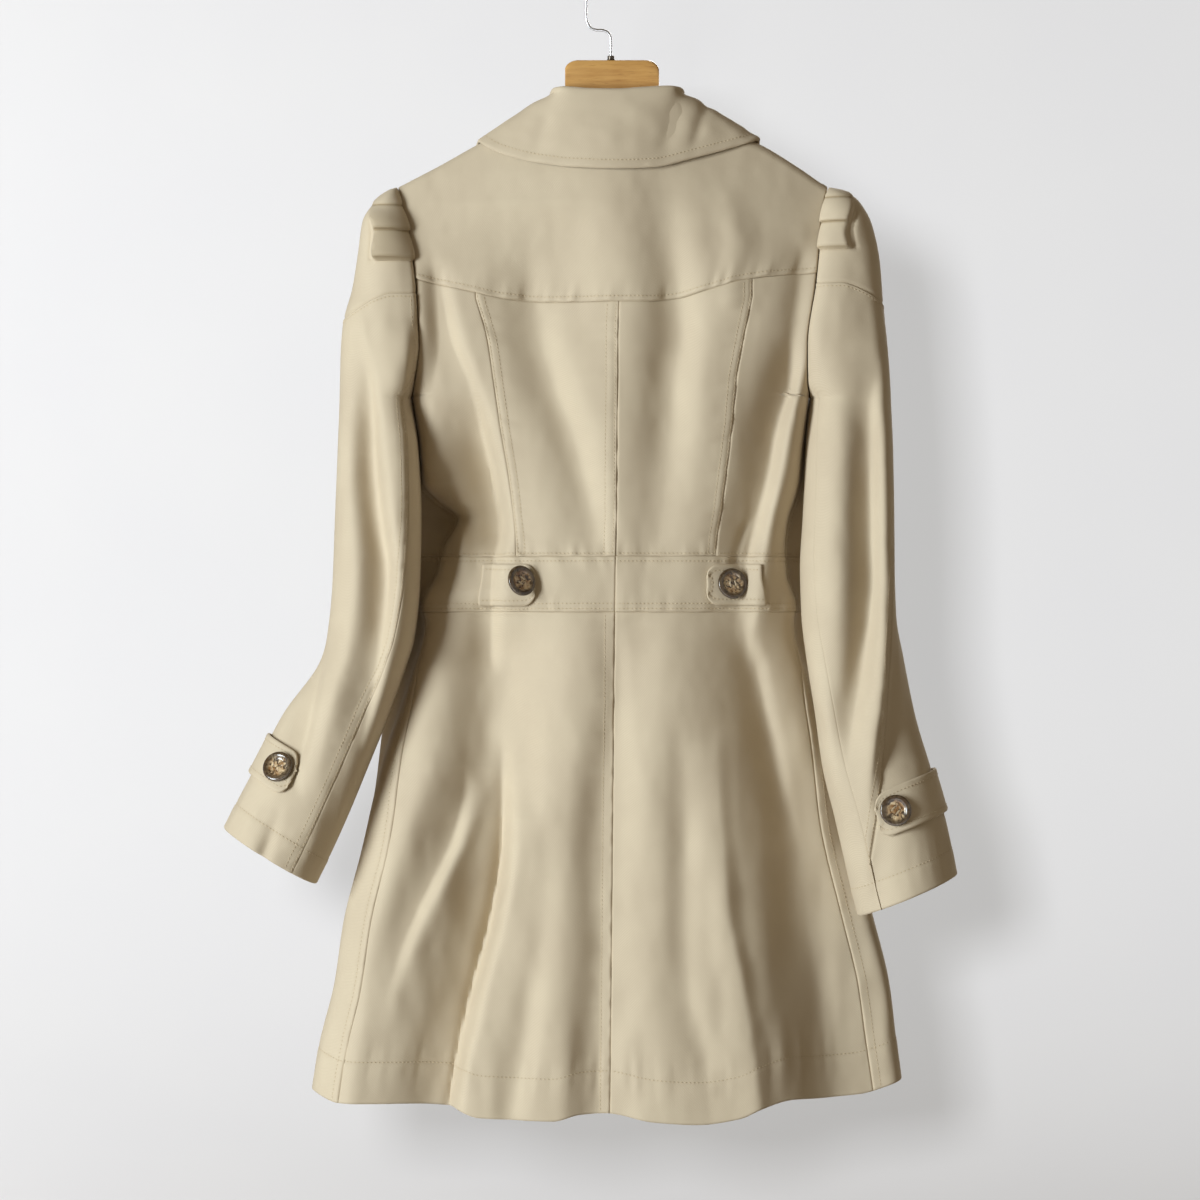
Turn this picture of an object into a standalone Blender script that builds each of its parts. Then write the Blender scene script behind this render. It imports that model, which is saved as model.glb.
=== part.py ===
"""A knee-length trench coat on a wooden hanger, as Blender solids.

Frame: +Z up, origin at the inside top of the hanger's hook, the coat's back faces -Y, the coat's own
left-hand side as seen from behind lies at -X. Sizes below are in millimetres; meshes are in metres.

Every cloth piece is a wall: a grid of points on the garment's surface and the same grid moved in by the
cloth's thickness. The surface of the body is a set of rings, read from BODY; the sleeves are tubes, read
from SLEEVES; FOLDS are soft troughs pushed into them.
"""

import math

import bmesh
import bpy
import numpy as np
from mathutils import Matrix, Vector

MM = 0.001
CLOTH = 1.6  # thickness of a wall of cloth
TRIM = 2.2  # thickness of tabs, straps and lapels, which are sewn double
SEAM_GAP = 0.3  # between two pieces at a seam
SLEEVE_GAP = 0.6  # the same on the sleeves' long seams, which bend
LIFT = 0.4  # between a panel and what lies on it
TAB_LIFT, LAPEL_LIFT, COLLAR_LIFT = 0.8, 1.5, 4.4  # the same for the tabs, the lapels and the collar's face
STRAP_LIFT = {-1: 1.7, 1: 2.05}  # and for the cuff straps

# ---------------------------------------------------------------- driving heights and widths
NECK_HALF = 62.0  # centre to the shoulder's neck end
NECK_Z = -125.0  # height there
NECK_DIP = 7.0  # how much lower the neck edge is at the centre back
SHOULDER_TIP = {-1: -187.0, 1: 188.5}  # the shoulder's outer end
SHOULDER_TIP_Z = -191.3
UNDERARM_Z = -375.0
WAIST_TOP = -513.9
WAIST_LOW = -562.0
HEM_Z = -981.0  # at the sides
HEM_DIP = 11.0  # how much lower the hem is at the centre
SHOULDER_RADIUS = 8.0  # the cloth's rounding over the hanger's arms
FILL_HEIGHT = 160.0  # below the shoulder line, over which the body reaches its full depth
UNDERARM_EASE = 0.2  # how much lower the under sleeve starts than the armhole
SQUARENESS = 0.55  # of the body's rings: 1 is an ellipse, less is squarer
OVERLAP = 70.0  # how far each front goes past the centre
UNDERLAP_INSET = 6.6  # how far the under front lies behind the upper one
BREAK_Z = -385.0  # where the lapels start to turn back
SIDE, CENTRE_FRONT = 1.0, 2.0  # positions round a ring; the centre back is 0

# Grid steps of the cloth pieces
SIDE_STEPS, BACK_STEPS, FRONT_STEPS = 7, 4, 12  # across the side backs, the backs and the fronts
BODICE_STEPS, SKIRT_STEPS = 7, 12  # down
SLEEVE_STEPS, ARM_STEPS = 14, 13  # round the upper sleeve, down the arm
CAP_COLUMNS = (0, 0.02, 0.11, 0.21, 0.24, 0.31, 0.37, 0.44, 0.5, 0.56, 0.63, 0.69, 0.76, 0.79, 0.89, 0.98, 1)
COLLAR_COLUMNS = (0, 0.05, 0.1, 0.15, 0.19, 0.22, 0.232, 0.24, 0.248, 0.26, 0.285, 0.33, 0.38, 0.44, 0.5)

LINEN = (0.60, 0.50, 0.34, 1.0)
WOOD = (0.62, 0.38, 0.14, 1.0)
STEEL = (0.55, 0.55, 0.56, 1.0)
HORN = (0.10, 0.06, 0.03, 1.0)


class Table:
    """Rows of named columns. at() reads a column along a smooth curve that never overshoots its rows."""

    def __init__(self, columns, *rows):
        data = np.array(sorted(rows), float)
        self.key = data[:, 0]
        self.columns = {name: data[:, i] for i, name in enumerate(columns.split())}

    def at(self, column, key):
        x, y = self.key, self.columns[column]
        step = np.diff(x)
        rise = np.diff(y) / step
        slope = np.concatenate([[rise[0]], np.zeros(len(x) - 2), [rise[-1]]])
        same_way = rise[:-1] * rise[1:] > 0
        mean = 2 * rise[:-1] * rise[1:] / np.where(same_way, rise[:-1] + rise[1:], 1.0)
        slope[1:-1] = np.where(same_way, mean, 0.0)
        key = np.clip(key, x[0], x[-1])
        i = np.clip(np.searchsorted(x, key, side="right") - 1, 0, len(x) - 2)
        t = (key - x[i]) / step[i]
        near = (1 + 2 * t) * (1 - t) ** 2 * y[i] + t * (1 - t) ** 2 * step[i] * slope[i]
        far = t * t * (3 - 2 * t) * y[i + 1] - t * t * (1 - t) * step[i] * slope[i + 1]
        return near + far


# The body's rings. Half-widths from the centre to the back's edge and the front's edge on each side,
# and the depths of the back and of the front.
BODY = Table(
    "z      back_l back_r front_l front_r back front",
    (-60,   215,   217,   215,    217,    44,  46),
    (-191,  215,   217,   215,    217,    45,  48),
    (-255,  208,   212,   208,    212,    47,  52),
    (-300,  194,   198,   194,    198,    49,  56),
    (-340,  180,   180,   180,    180,    51,  58),
    (-375,  174,   172,   174,    172,    52,  59),
    (-410,  168,   167,   170,    169,    53,  59),
    (-449,  164,   163,   168,    167,    53,  58),
    (-466,  150,   158,   167,    165,    53,  57),
    (-480,  134,   153,   166,    164,    53,  57),
    (-504,  146,   150,   166,    164,    52,  56),
    (-530,  153,   152,   167,    164,    52,  56),
    (-557,  166,   161,   168,    165,    53,  57),
    (-572,  163,   159,   166,    163,    54,  58),
    (-620,  176,   172,   178,    174,    58,  61),
    (-700,  202,   196,   202,    196,    64,  66),
    (-772,  219,   213,   219,    213,    69,  70),
    (-831,  234,   229,   234,    229,    73,  73),
    (-885,  242,   242,   242,    242,    76,  76),
    (-934,  254,   248,   254,    248,    79,  79),
    (-995,  264,   256,   264,    256,    82,  82),
)

# The top line of the shoulders, carried on over the neck, where the collar covers it.
SHOULDERS = Table(
    "x      z",
    (-215,  -206),
    (-187,  -191.3),
    (-150,  -172),
    (-119,  -154.6),
    (-62,   -125),
    (0,     -100),
    (62,    -125),
    (131,   -154.5),
    (164,   -174.6),
    (188.5, -191.3),
    (217,   -207),
)

# Where the sleeves are sewn in: distance from the centre on each side.
ARMHOLES = Table(
    "z      left   right",
    (-375,  174,   172),
    (-362,  171.5, 170),
    (-330,  167.5, 169.5),
    (-280,  169.6, 176),
    (-254,  173,   179),
    (-230,  177.3, 181.5),
    (-207,  183.4, 184.5),
    (-191.3, 187,  188.5),
)

# The seam lines of the back: the centre seam and the two princess seams.
BACK_SEAMS = Table(
    "z      centre left  right",
    (-290,  6,     -118, 121),
    (-325,  5,     -108, 114),
    (-358,  5,     -103, 108),
    (-400,  4.5,   -97,  104),
    (-465,  4,     -87,  96),
    (-514,  3,     -83,  90),
    (-990,  -2,    -83,  90),
)
SIDE_SEAM = Table(
    "z      left  right",
    (-375,  1.0,  1.0),
    (-470,  1.0,  1.0),
    (-562,  0.93, 0.93),
    (-650,  0.80, 0.82),
    (-760,  0.735, 0.76),
    (-990,  0.73, 0.78),
)
YOKE_SEAM = Table(
    "x      z",
    (-172,  -273),
    (-128,  -283),
    (-89,   -291),
    (-49,   -293.7),
    (39,    -293.7),
    (79,    -285),
    (114,   -275),
    (148,   -270.5),
    (178,   -268),
)

# Sleeve rings: distances from the centre to the outer and the inner edge, how far the ring's middle
# stands behind the shoulder line (towards the back), and its half depth towards the back and the front.
# back_seam and front_seam are degrees round from the outer edge.
SLEEVE_COLUMNS = "z outer inner middle back front back_seam front_seam"
SLEEVES = {
    -1: Table(
        SLEEVE_COLUMNS,
        (-191.3, 187.5, 187, 0,  0.5, 0.5, 144, 130),
        (-195,  196,   187,  0,  12,  12,  144, 130),
        (-205,  208,   187,  0,  20,  21,  144, 130),
        (-221,  218,   187,  0,  26,  28,  144, 130),
        (-249,  222,   187,  0,  31,  34,  144, 130),
        (-280,  227,   187,  0,  36,  40,  144, 130),
        (-306,  234,   187,  0,  39,  43,  144, 130),
        (-335,  237,   176,  0,  41,  44,  144, 130),
        (-375,  238,   174.4, 0, 42,  44,  143, 128),
        (-421,  239,   168.5, 10, 42,  42,  142, 126),
        (-480,  241,   166,  16, 42,  40,  140, 125),
        (-540,  243,   167,  20, 42,  40,  134, 124),
        (-587,  248,   172,  23, 42,  40,  127, 122),
        (-604,  253,   177,  24, 42,  40,  125, 120),
        (-650,  285,   193,  26, 43,  40,  125, 120),
        (-690,  306,   209,  28, 44,  41,  125, 120),
        (-748,  336,   233,  30, 45,  42,  124, 120),
        (-830,  377,   272,  31, 45,  42,  122, 120),
    ),
    1: Table(
        SLEEVE_COLUMNS,
        (-191.3, 189,  188.5, 0, 0.5, 0.5, 144, 130),
        (-196,  206,   188,  0,  12,  12,  144, 130),
        (-205,  217,   188,  0,  20,  21,  144, 130),
        (-225,  227.5, 188,  0,  27,  29,  144, 130),
        (-258,  234,   188,  0,  33,  36,  144, 130),
        (-293,  236.5, 188,  0,  38,  42,  144, 130),
        (-339,  241,   176,  0,  41,  44,  144, 130),
        (-375,  243,   172.4, 0, 42,  44,  143, 128),
        (-421,  244,   168.5, 12, 42,  42,  142, 126),
        (-482,  244.5, 165.5, 20, 42,  40,  140, 125),
        (-525,  244.5, 163,  25, 42,  40,  138, 124),
        (-565,  245.5, 164,  30, 42,  40,  135, 122),
        (-602,  252,   168,  36, 42,  38,  132, 120),
        (-650,  261,   175,  46, 43,  36,  130, 120),
        (-695,  274,   181,  50, 44,  36,  128, 120),
        (-737,  286,   191,  52, 45,  36,  126, 120),
        (-785,  296,   202,  54, 45,  36,  125, 120),
        (-840,  309,   216,  55, 45,  36,  125, 120),
    ),
}
CAP_SEAM = {-1: (-286.0, 21.0), 1: (-277.0, 17.0)}  # height at the armhole, drop towards the outer edge
CUFF = {-1: (-337.0, -748.0, -0.61), 1: (297.0, -787.0, 0.42)}  # outer end's x and z, slope of the edge

# Soft troughs in the cloth. Each runs down a curve through three points (x, z); depth is how far it is
# pushed in at those points, a minus sign makes a ridge, and left and right are its half-widths.
FOLD_COLUMNS = ("x1", "z1", "x2", "z2", "x3", "z3", "depth1", "depth2", "depth3", "left", "right")
BACK_FOLDS = (
    # armpit to waistband, the left side falls back behind it
    (-160, -300, -128, -415, -113, -525, 6, 15, 12, 30, 9),
    (-113, -525, -111, -560, -105, -640, 10, 7, 0, 26, 9),
    # armpit to waistband on the right, with the proud fold beside it
    (166, -300, 140, -400, 100, -500, 6, 12, 4, 16, 15),
    (150, -380, 134, -470, 122, -560, -2, -7, -9, 16, 11),
    # soft shadows over the shoulder blades
    (-86, -360, -46, -440, -34, -505, 1, 4, 1, 17, 17),
    (24, -310, 20, -400, 16, -500, 1, 4, 1, 12, 14),
    (60, -420, 72, -470, 80, -515, 1, 4, 2, 10, 12),
    # skirt, right: the deepest valley and the ridge beside it
    (117, -585, 126, -760, 150, -960, 2, 16, 20, 9, 24),
    (133, -660, 156, -780, 178, -960, -4, -10, -7, 18, 20),
    (98, -700, 112, -850, 124, -985, -2, -8, -9, 24, 9),
    # skirt, left: the diagonal valley and the ridge beside it
    (-102, -690, -126, -810, -160, -950, 8, 15, 14, 22, 14),
    (-92, -720, -104, -830, -128, -975, -4, -8, -8, 14, 17),
    (-84, -780, -92, -860, -100, -960, 2, 6, 7, 10, 12),
    (-22, -690, -38, -830, -37, -960, 2, 7, 8, 16, 14),
    (-48, -740, -56, -840, -60, -980, -2, -5, -6, 14, 14),
    (42, -680, 48, -800, 60, -960, 1, 5, 5, 16, 16),
    (18, -620, 22, -760, 30, -970, -2, -4, -6, 16, 16),
    (-190, -760, -206, -860, -220, -970, 2, 6, 7, 14, 14),
    (205, -800, 214, -880, 222, -970, 2, 5, 6, 12, 12),
)
FRONT_FOLDS = (
    (-120, -600, -140, -760, -160, -970, 2, 12, 16, 18, 14),
    (118, -590, 138, -770, 152, -970, 2, 13, 17, 12, 20),
    (-86, -640, -96, -800, -108, -970, -1, -6, -8, 16, 16),
    (92, -640, 98, -800, 104, -975, -1, -6, -8, 14, 18),
    (150, -320, 128, -420, 112, -505, 3, 8, 5, 14, 14),
    (-148, -320, -124, -420, -108, -505, 3, 9, 6, 14, 14),
    (-200, -760, -214, -860, -226, -970, 2, 6, 8, 14, 14),
    (196, -760, 208, -860, 218, -970, 2, 6, 8, 14, 14),
)
SLEEVE_FOLDS = {
    -1: (
        (-207, -300, -209, -420, -213, -560, 1, 5, 2, 9, 12),
        (-268, -640, -266, -675, -278, -705, 8, 11, 4, 26, 7),
        (-246, -600, -248, -650, -256, -700, -1, -4, -2, 8, 12),
        (-196, -560, -215, -640, -232, -700, 1, 4, 2, 10, 14),
        (-290, -735, -296, -760, -302, -790, 1, 4, 3, 10, 8),
    ),
    1: (
        (212, -330, 217, -430, 214, -570, 1, 5, 2, 12, 10),
        (248, -600, 243, -670, 240, -700, 3, 9, 5, 6, 24),
        (232, -580, 228, -660, 226, -720, -1, -4, -2, 14, 8),
        (200, -600, 206, -680, 214, -760, 1, 4, 3, 12, 12),
        (227, -735, 226, -770, 226, -815, 2, 5, 4, 6, 10),
    ),
}
FOLD_FADE = 28.0  # how far past its ends a fold dies away

# Pleats of the sleeve heads: heights of their lower edges and how far each stands up there.
PLEATS = {-1: ((-204, 1.6), (-229, 3.2), (-254, 3.4)), 1: ((-200, 1.6), (-219, 3.2), (-243, 3.4))}
PLEAT_TOP = -191.3
PLEAT_REST = 0.6  # how far each stands up at its upper edge
PLEAT_SHARE = 0.22  # of the cap's width, on each side

# The collar, all round from the left front end to the right one: the x of its neck edge, the point on top
# where it folds over, and the x and z of its outer edge, which rests on the coat.
COLLAR = Table(
    "share  neck   tx   ty    tz     ex    ez",
    (0.00,  -42,   -43, 25,   -155,  -97,  -206),
    (0.12,  -55,   -51, 14,   -128,  -117, -188),
    (0.19,  -60.5, -52, 6,    -113,  -121, -168),
    (0.24,  -62,   -51, -1,   -107,  -118, -151),
    (0.29,  -60,   -49, -10,  -105,  -104, -160),
    (0.36,  -46,   -42, -19,  -105,  -72,  -171),
    (0.43,  -22,   -20, -22,  -107,  -32,  -177),
    (0.50,  0,     4,   -23,  -107.5, 4,   -178.5),
    (0.57,  24,    26,  -22,  -106,  36,   -177),
    (0.64,  46,    50,  -19,  -104.5, 72,  -168),
    (0.71,  60,    58,  -10,  -104.5, 108, -157),
    (0.76,  62,    60,  -1,   -106,  129.5, -149),
    (0.81,  60.5,  58,  6,    -112,  128,  -168),
    (0.88,  55,    52,  14,   -127,  119,  -188),
    (1.00,  42,    43,  25,   -155,  97,   -206),
)
COLLAR_ROLL = 4.0  # radius of the fold at its top
LAPEL_START, LAPEL_TIP = (43.0, -170.0), (118.0, -243.0)  # ends of its seam with the collar: x, z

TAB_HEIGHT = 35.0
TAB_Z = -538.5
WAIST_TABS = {-1: (-114.0, -66.0), 1: (81.0, 130.0)}  # from x to x
STRAP_WIDTH = 37.0
# Cuff straps: x and z of the middle of the rounded end, the slope along the strap, and how many degrees
# round the sleeve its two ends lie (0 is the outer edge, a minus is on the front side)
CUFF_STRAPS = {-1: (-273.0, -704.0, -0.62, 80.0, -108.0), 1: (222.0, -738.0, 0.40, 106.0, -108.0)}

BUTTON_RADIUS = 13.5
BUTTON_HEIGHT = 3.6
BUTTON_PROFILE = ((0.60, 0.0), (0.98, 0.25), (0.99, 0.66), (0.88, 1.0), (0.68, 0.62))  # radius, height shares
BUTTON_SIDES = 12
FRONT_BUTTON_X = 48.0
FRONT_BUTTON_Z = (-413.0, -538.0, -663.0)
WAIST_BUTTONS = {-1: (-86.0, 40.0), 1: (102.0, 0.0)}  # x, and degrees it is turned about the vertical
CUFF_BUTTON_IN = 17.0  # from the strap's rounded end
STRAP_GIRTH = 205.0  # of the upper sleeve there
STRAP_ROUNDING = 0.07  # how much of it the rounding takes up

# The hanger's wood: x, its top's height below the shoulder line (or the neck's own height) and its depth
HANGER_HALF_THICKNESS = 5.3
HANGER_CLEAR = 2.4  # from the top of the arms up to the coat's shoulder line
HANGER_REACH = 178.0
HANGER_NECK_HALF = 41.0
HANGER_TOP = -79.8
HANGER_ARM_HEIGHTS = (27.0, 15.0)  # at the neck and at the ends
HOOK_PATH = (  # x, z of the wire's middle line, after its arc over the top
    (-22.3, -28.0), (-22.6, -38.0), (-21.8, -46.5), (-18.5, -51.8), (-13.5, -53.6),
    (-8.0, -53.8), (-3.6, -55.8), (-1.2, -60.0), (-0.9, -66.0), (-0.9, -79.4),
)
HOOK_RADIUS = 21.5
HOOK_CENTRE_Z = -20.3
HOOK_TIP_ANGLE = -18.0
WIRE = 2.4
FERRULE = (1.6, 3.4, 3.6)  # inner radius, outer radius, height


def ease(t):
    t = np.clip(t, 0.0, 1.0)
    return t * t * (3 - 2 * t)


def unit(v):
    return v / np.maximum(np.linalg.norm(v, axis=-1, keepdims=True), 1e-9)


# ---------------------------------------------------------------- the body's surface
def ring_spacing(width=165.0, depth=55.0, samples=721):
    """Angles and positions round a typical ring, evenly spaced along each quarter of it."""
    angle = np.linspace(0, math.pi, samples)
    across = width * np.sin(angle)
    out = -depth * np.sign(np.cos(angle)) * np.abs(np.cos(angle)) ** SQUARENESS
    length = np.concatenate([[0], np.cumsum(np.hypot(np.diff(across), np.diff(out)))])
    return angle, CENTRE_FRONT * length / length[-1]


RING_ANGLE, RING_POSITION = ring_spacing()


def ring_angle(w):
    """Angle at a position round the ring; past 2 it runs on over the centre front."""
    inside = np.interp(np.minimum(np.abs(w), 2 * CENTRE_FRONT - np.abs(w)), RING_POSITION, RING_ANGLE)
    return np.sign(w) * np.where(np.abs(w) > CENTRE_FRONT, 2 * math.pi - inside, inside)


def ring_position(x, z, front=False):
    """The position round the ring at height z whose point lies at x, on the back or on the front."""
    half = np.where(x < 0, BODY.at("front_l" if front else "back_l", z), BODY.at("front_r" if front else "back_r", z))
    angle = np.arcsin(np.clip(np.abs(x) / half, 0, 1))
    if front:
        angle = math.pi - angle
    return np.where(x < 0, -1, 1) * np.interp(angle, RING_ANGLE, RING_POSITION)


def half_width(w, z, sine):
    turn = ease((np.abs(w) - SIDE) / 0.25)
    left = (1 - turn) * BODY.at("back_l", z) + turn * BODY.at("front_l", z)
    right = (1 - turn) * BODY.at("back_r", z) + turn * BODY.at("front_r", z)
    return np.where(sine < 0, left, right)


def trough(folds, x, z):
    """How far the folds push the cloth in at (x, z)."""
    total = np.zeros(np.broadcast(x, z).shape)
    for row in folds:
        f = dict(zip(FOLD_COLUMNS, row))
        heights = np.array([f["z3"], f["z2"], f["z1"]])
        path = Table("z x depth", *((f[f"z{k}"], f[f"x{k}"], f[f"depth{k}"]) for k in (1, 2, 3)))
        offset = x - path.at("x", z)
        width = np.where(offset < 0, f["left"], f["right"])
        ends = ease((z - heights[0]) / FOLD_FADE + 1) * ease((heights[2] - z) / FOLD_FADE + 1)
        total = total + path.at("depth", z) * ends * np.exp(-((offset / width) ** 2))
    return total


def at_armhole(w, z):
    """0 on the armhole seam and 1 away from it, so that folds leave the seam where it is."""
    seam = np.where(w < 0, ARMHOLES.at("left", z), ARMHOLES.at("right", z))
    half = np.where(w < 0, BODY.at("back_l", z), BODY.at("back_r", z))
    position = np.interp(np.arcsin(np.clip(seam / half, 0, 1)), RING_ANGLE, RING_POSITION)
    away = np.minimum(np.abs(w), 2 * SIDE - np.abs(w))
    clear = ease((position - away) / 0.16)
    below = ease((UNDERARM_Z - z) / 40.0)
    return np.clip(clear + below, 0, 1)


def plain_depth(x, z, cosine, lift=0.0):
    """Depth of the body's surface behind or before the shoulder line, without folds, or of a surface that
    lies over it by lift. cosine is that of the ring angle, more than 0 on the back."""
    drop = SHOULDERS.at("z", x) - z
    radius = SHOULDER_RADIUS + lift
    roll = np.sqrt(np.clip(1 - (1 - np.clip((drop + lift) / radius, 0, 1)) ** 2, 0, 1))
    fill = np.sin(0.5 * math.pi * np.clip(drop / FILL_HEIGHT, 0, 1))
    full = np.where(cosine > 0, BODY.at("back", z), BODY.at("front", z))
    return (radius * roll + (full - SHOULDER_RADIUS) * fill) * np.abs(cosine) ** SQUARENESS


def body(w, z, underlap=0.0):
    """The body's outer surface at position w round the ring and height z. underlap is how far the left
    front lies behind the right one, which closes over it."""
    angle = ring_angle(w)
    sine, cosine = np.sin(angle), np.cos(angle)
    x = half_width(w, z, sine) * sine
    depth = plain_depth(x, z, cosine)
    calm = at_armhole(w, z)
    on_back = 1 - ease((np.abs(w) - SIDE) / 0.3)
    on_front = ease((np.abs(w) - 0.8) / 0.2)
    y = np.where(cosine > 0, -depth, depth)
    y = y + calm * on_back * trough(BACK_FOLDS, x, z) - calm * on_front * trough(FRONT_FOLDS, x, z)
    y = y - underlap * ease((x + OVERLAP + 45) / 35.0) * ease((-165 - z) / 60.0) * on_front
    return np.stack([x, y, z + 0 * x], -1)


def profile_length(drop):
    """Length along the cloth from the shoulder seam, over the hanger's arm and down by drop."""
    turned = SHOULDER_RADIUS * np.arccos(np.clip(1 - drop / SHOULDER_RADIUS, 0, 1))
    return turned + np.maximum(drop - SHOULDER_RADIUS, 0)


def profile_drop(length):
    turn = 0.5 * math.pi * SHOULDER_RADIUS
    turned = SHOULDER_RADIUS * (1 - np.cos(np.clip(length, 0, turn) / SHOULDER_RADIUS))
    return turned + np.maximum(length - turn, 0)


def between(marks, share):
    """Reads a list of values at shares 0, 1, 2 ... and evenly between them."""
    value = marks[0] + 0 * share
    for k in range(len(marks) - 1):
        value = value + np.clip(share - k, 0, 1) * (marks[k + 1] - marks[k])
    return value


def body_panel(lines, levels, underlap=0.0):
    """A panel of the body. lines are positions round the ring, given at each height, and levels are
    heights, given at each x: the panel runs from the first to the last of each."""

    def surface(g, f):
        z = 0 * g + 0.5 * (levels[0](0 * g) + levels[-1](0 * g))
        for _ in range(12):
            w = between([line(z) for line in lines], g)
            sine = np.sin(ring_angle(w))
            x = half_width(w, z, sine) * sine
            shoulder = SHOULDERS.at("z", x)
            lengths = [profile_length(np.maximum(shoulder - height(x), 0)) for height in levels]
            z = shoulder - profile_drop(between(lengths, f))
        return body(w, z, underlap)

    return surface


def level(z):
    return lambda x: z + 0 * x


def hem(x):
    return HEM_Z - HEM_DIP * np.clip(1 - (x / 262.0) ** 2, 0, 1)


def back_line(column):
    return lambda z: ring_position(BACK_SEAMS.at(column, z), z)


def side_line(side):
    """The outer edge of the back's panels: the armhole, and the side seam below it."""
    column = "left" if side < 0 else "right"

    def line(z):
        armhole = np.abs(ring_position(side * ARMHOLES.at(column, z), z))
        return side * np.where(z > UNDERARM_Z, armhole, SIDE_SEAM.at(column, z))

    return line


def front_side_line(side):
    """The outer edge of the front's panels."""
    column = "left" if side < 0 else "right"

    def line(z):
        armhole = np.abs(ring_position(side * ARMHOLES.at(column, z), z, front=True))
        return side * np.where(z > UNDERARM_Z, armhole, SIDE_SEAM.at(column, z))

    return line


def front_position(side, x, z):
    """The position round the ring of x on one side's front, which runs on past the centre."""
    position = np.abs(ring_position(x, z, front=True))
    return side * np.where(side * x >= 0, position, 2 * CENTRE_FRONT - position)


def front_edge(side):
    """The closing edge of a front."""
    return lambda z: front_position(side, -side * OVERLAP, z)


def neck_line(x):
    """Where the back's neck edge lies, and the shoulder line outside the neck."""
    dip = NECK_DIP * (1 - (x / NECK_HALF) ** 2)
    return np.where(np.abs(x) < NECK_HALF, NECK_Z - dip, SHOULDERS.at("z", x))


def roll_line(side):
    """The top edge of a front: the shoulder, then the line on which the lapel turns, down to the break."""

    def line(x):
        share = np.clip((NECK_HALF - side * x) / (NECK_HALF + OVERLAP), 0, 1)
        return np.where(side * x > NECK_HALF, SHOULDERS.at("z", x), NECK_Z + (BREAK_Z - NECK_Z) * share)

    return line


def under_turn(edge):
    """Below an edge, and where the cloth has turned down over the shoulder."""
    return lambda x: np.minimum(edge(x) - 4.0, SHOULDERS.at("z", x) - SHOULDER_RADIUS)


def below(line, edge):
    """A height line, kept below an edge."""
    return lambda x: np.minimum(line(x), edge(x) - 16.0)


def yoke_seam(x):
    return YOKE_SEAM.at("z", x)


# ---------------------------------------------------------------- the sleeves' surface
def armhole_point(side, z):
    """Distance of the armhole seam from the centre, and its depth on the back and on the front."""
    column = "left" if side < 0 else "right"
    x = ARMHOLES.at(column, z)
    angle = np.arcsin(np.clip(x / BODY.at("back_l" if side < 0 else "back_r", z), 0, 1))
    back = plain_depth(side * x, z, np.cos(angle))
    front = plain_depth(side * x, z, -np.cos(angle))
    return x, back, front


def sleeve_ring(side, z):
    """The ring of a sleeve at height z: centre distance, half-width, half depths to the back and the front,
    and the angle at which it meets the armhole, 180 degrees below the underarm."""
    table = SLEEVES[side]
    z = np.asarray(z, float)
    outer, back = table.at("outer", z), table.at("back", z)
    seam, back_at, front_at = armhole_point(side, z)
    meet = math.pi - np.arcsin(np.clip(back_at / back, 0, 0.98))
    open_half = (outer - seam) / (1 - np.cos(meet))
    shut_half = 0.5 * (outer - table.at("inner", z))
    above = z > UNDERARM_Z
    half = np.where(above, open_half, shut_half)
    share = np.where(above, BODY.at("front", z) / BODY.at("back", z), table.at("front", z) / back)
    return outer - half, half, back, back * share, np.where(above, meet, math.pi)


def pleat_relief(side, grid):
    """How far the stitched-down pleats stand up beside the armhole, on the back and on the front."""
    from_armhole = np.minimum(grid.columns, 1 - grid.columns)
    strip = (from_armhole > 0) & (from_armhole < PLEAT_SHARE)
    z = grid.point[..., 2]
    height = np.zeros(z.shape)
    upper = PLEAT_TOP
    for lower, rise in PLEATS[side]:
        t = (upper - z) / (upper - lower)
        height = np.where((t > 0) & (t <= 1), PLEAT_REST + (rise - PLEAT_REST) * t, height)
        upper = lower
    return height * strip[:, None]


def cap_rows(side):
    """Heights of the cap's rows above its seam: close together at the top, and at each pleat's edge."""
    edges = [lower for lower, _ in PLEATS[side]]
    heights = [PLEAT_TOP - 0.9, -196.0]
    for upper, lower in zip([-196.0] + edges, edges):
        heights += [0.5 * (upper + lower), lower + 0.1, lower - 0.9]
    return heights


def sleeve(side, angle, z):
    """The sleeve's outer surface; angle runs from 0 at the outer edge, plus round the back."""
    table = SLEEVES[side]
    centre, half, back, front, meet = sleeve_ring(side, z)
    x = side * (centre + half * np.cos(angle))
    middle = np.where(z > UNDERARM_Z, 0.0, table.at("middle", z))
    sine = np.sin(angle)
    y = -middle - np.where(sine > 0, back, front) * sine
    calm = np.abs(sine) ** 0.5 * ease((meet - np.abs(angle)) / 0.3 + np.where(z > UNDERARM_Z, 0, 1))
    dent = trough(SLEEVE_FOLDS[side], x, z)
    y = y + calm * np.where(sine > 0, dent, -0.7 * dent)
    return np.stack([x, y, z + 0 * x], -1)


def level_round(z):
    return lambda angle, x: z + 0 * angle


def cap_seam(side, angle):
    height, drop = CAP_SEAM[side]
    return height - drop * np.clip(np.cos(angle), 0, 1) ** 1.5


def cuff_height(side, x):
    at, height, slope = CUFF[side]
    return height + slope * (x - at)


def sleeve_panel(side, lines, levels):
    """A piece of a sleeve. lines are angles round it, given at each height, and levels are heights, given
    at each angle and x."""

    def at(g, z):
        angle = between([line(z) for line in lines], g)
        centre, half, *_ = sleeve_ring(side, z)
        return angle, side * (centre + half * np.cos(angle))

    def height_of(level_line, g):
        z = 0 * g - 300.0
        for _ in range(16):
            z = level_line(*at(g, z))
        return z

    def surface(g, f):
        z = between([height_of(level_line, g) for level_line in levels], f)
        return sleeve(side, at(g, z)[0], z)

    return surface


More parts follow.
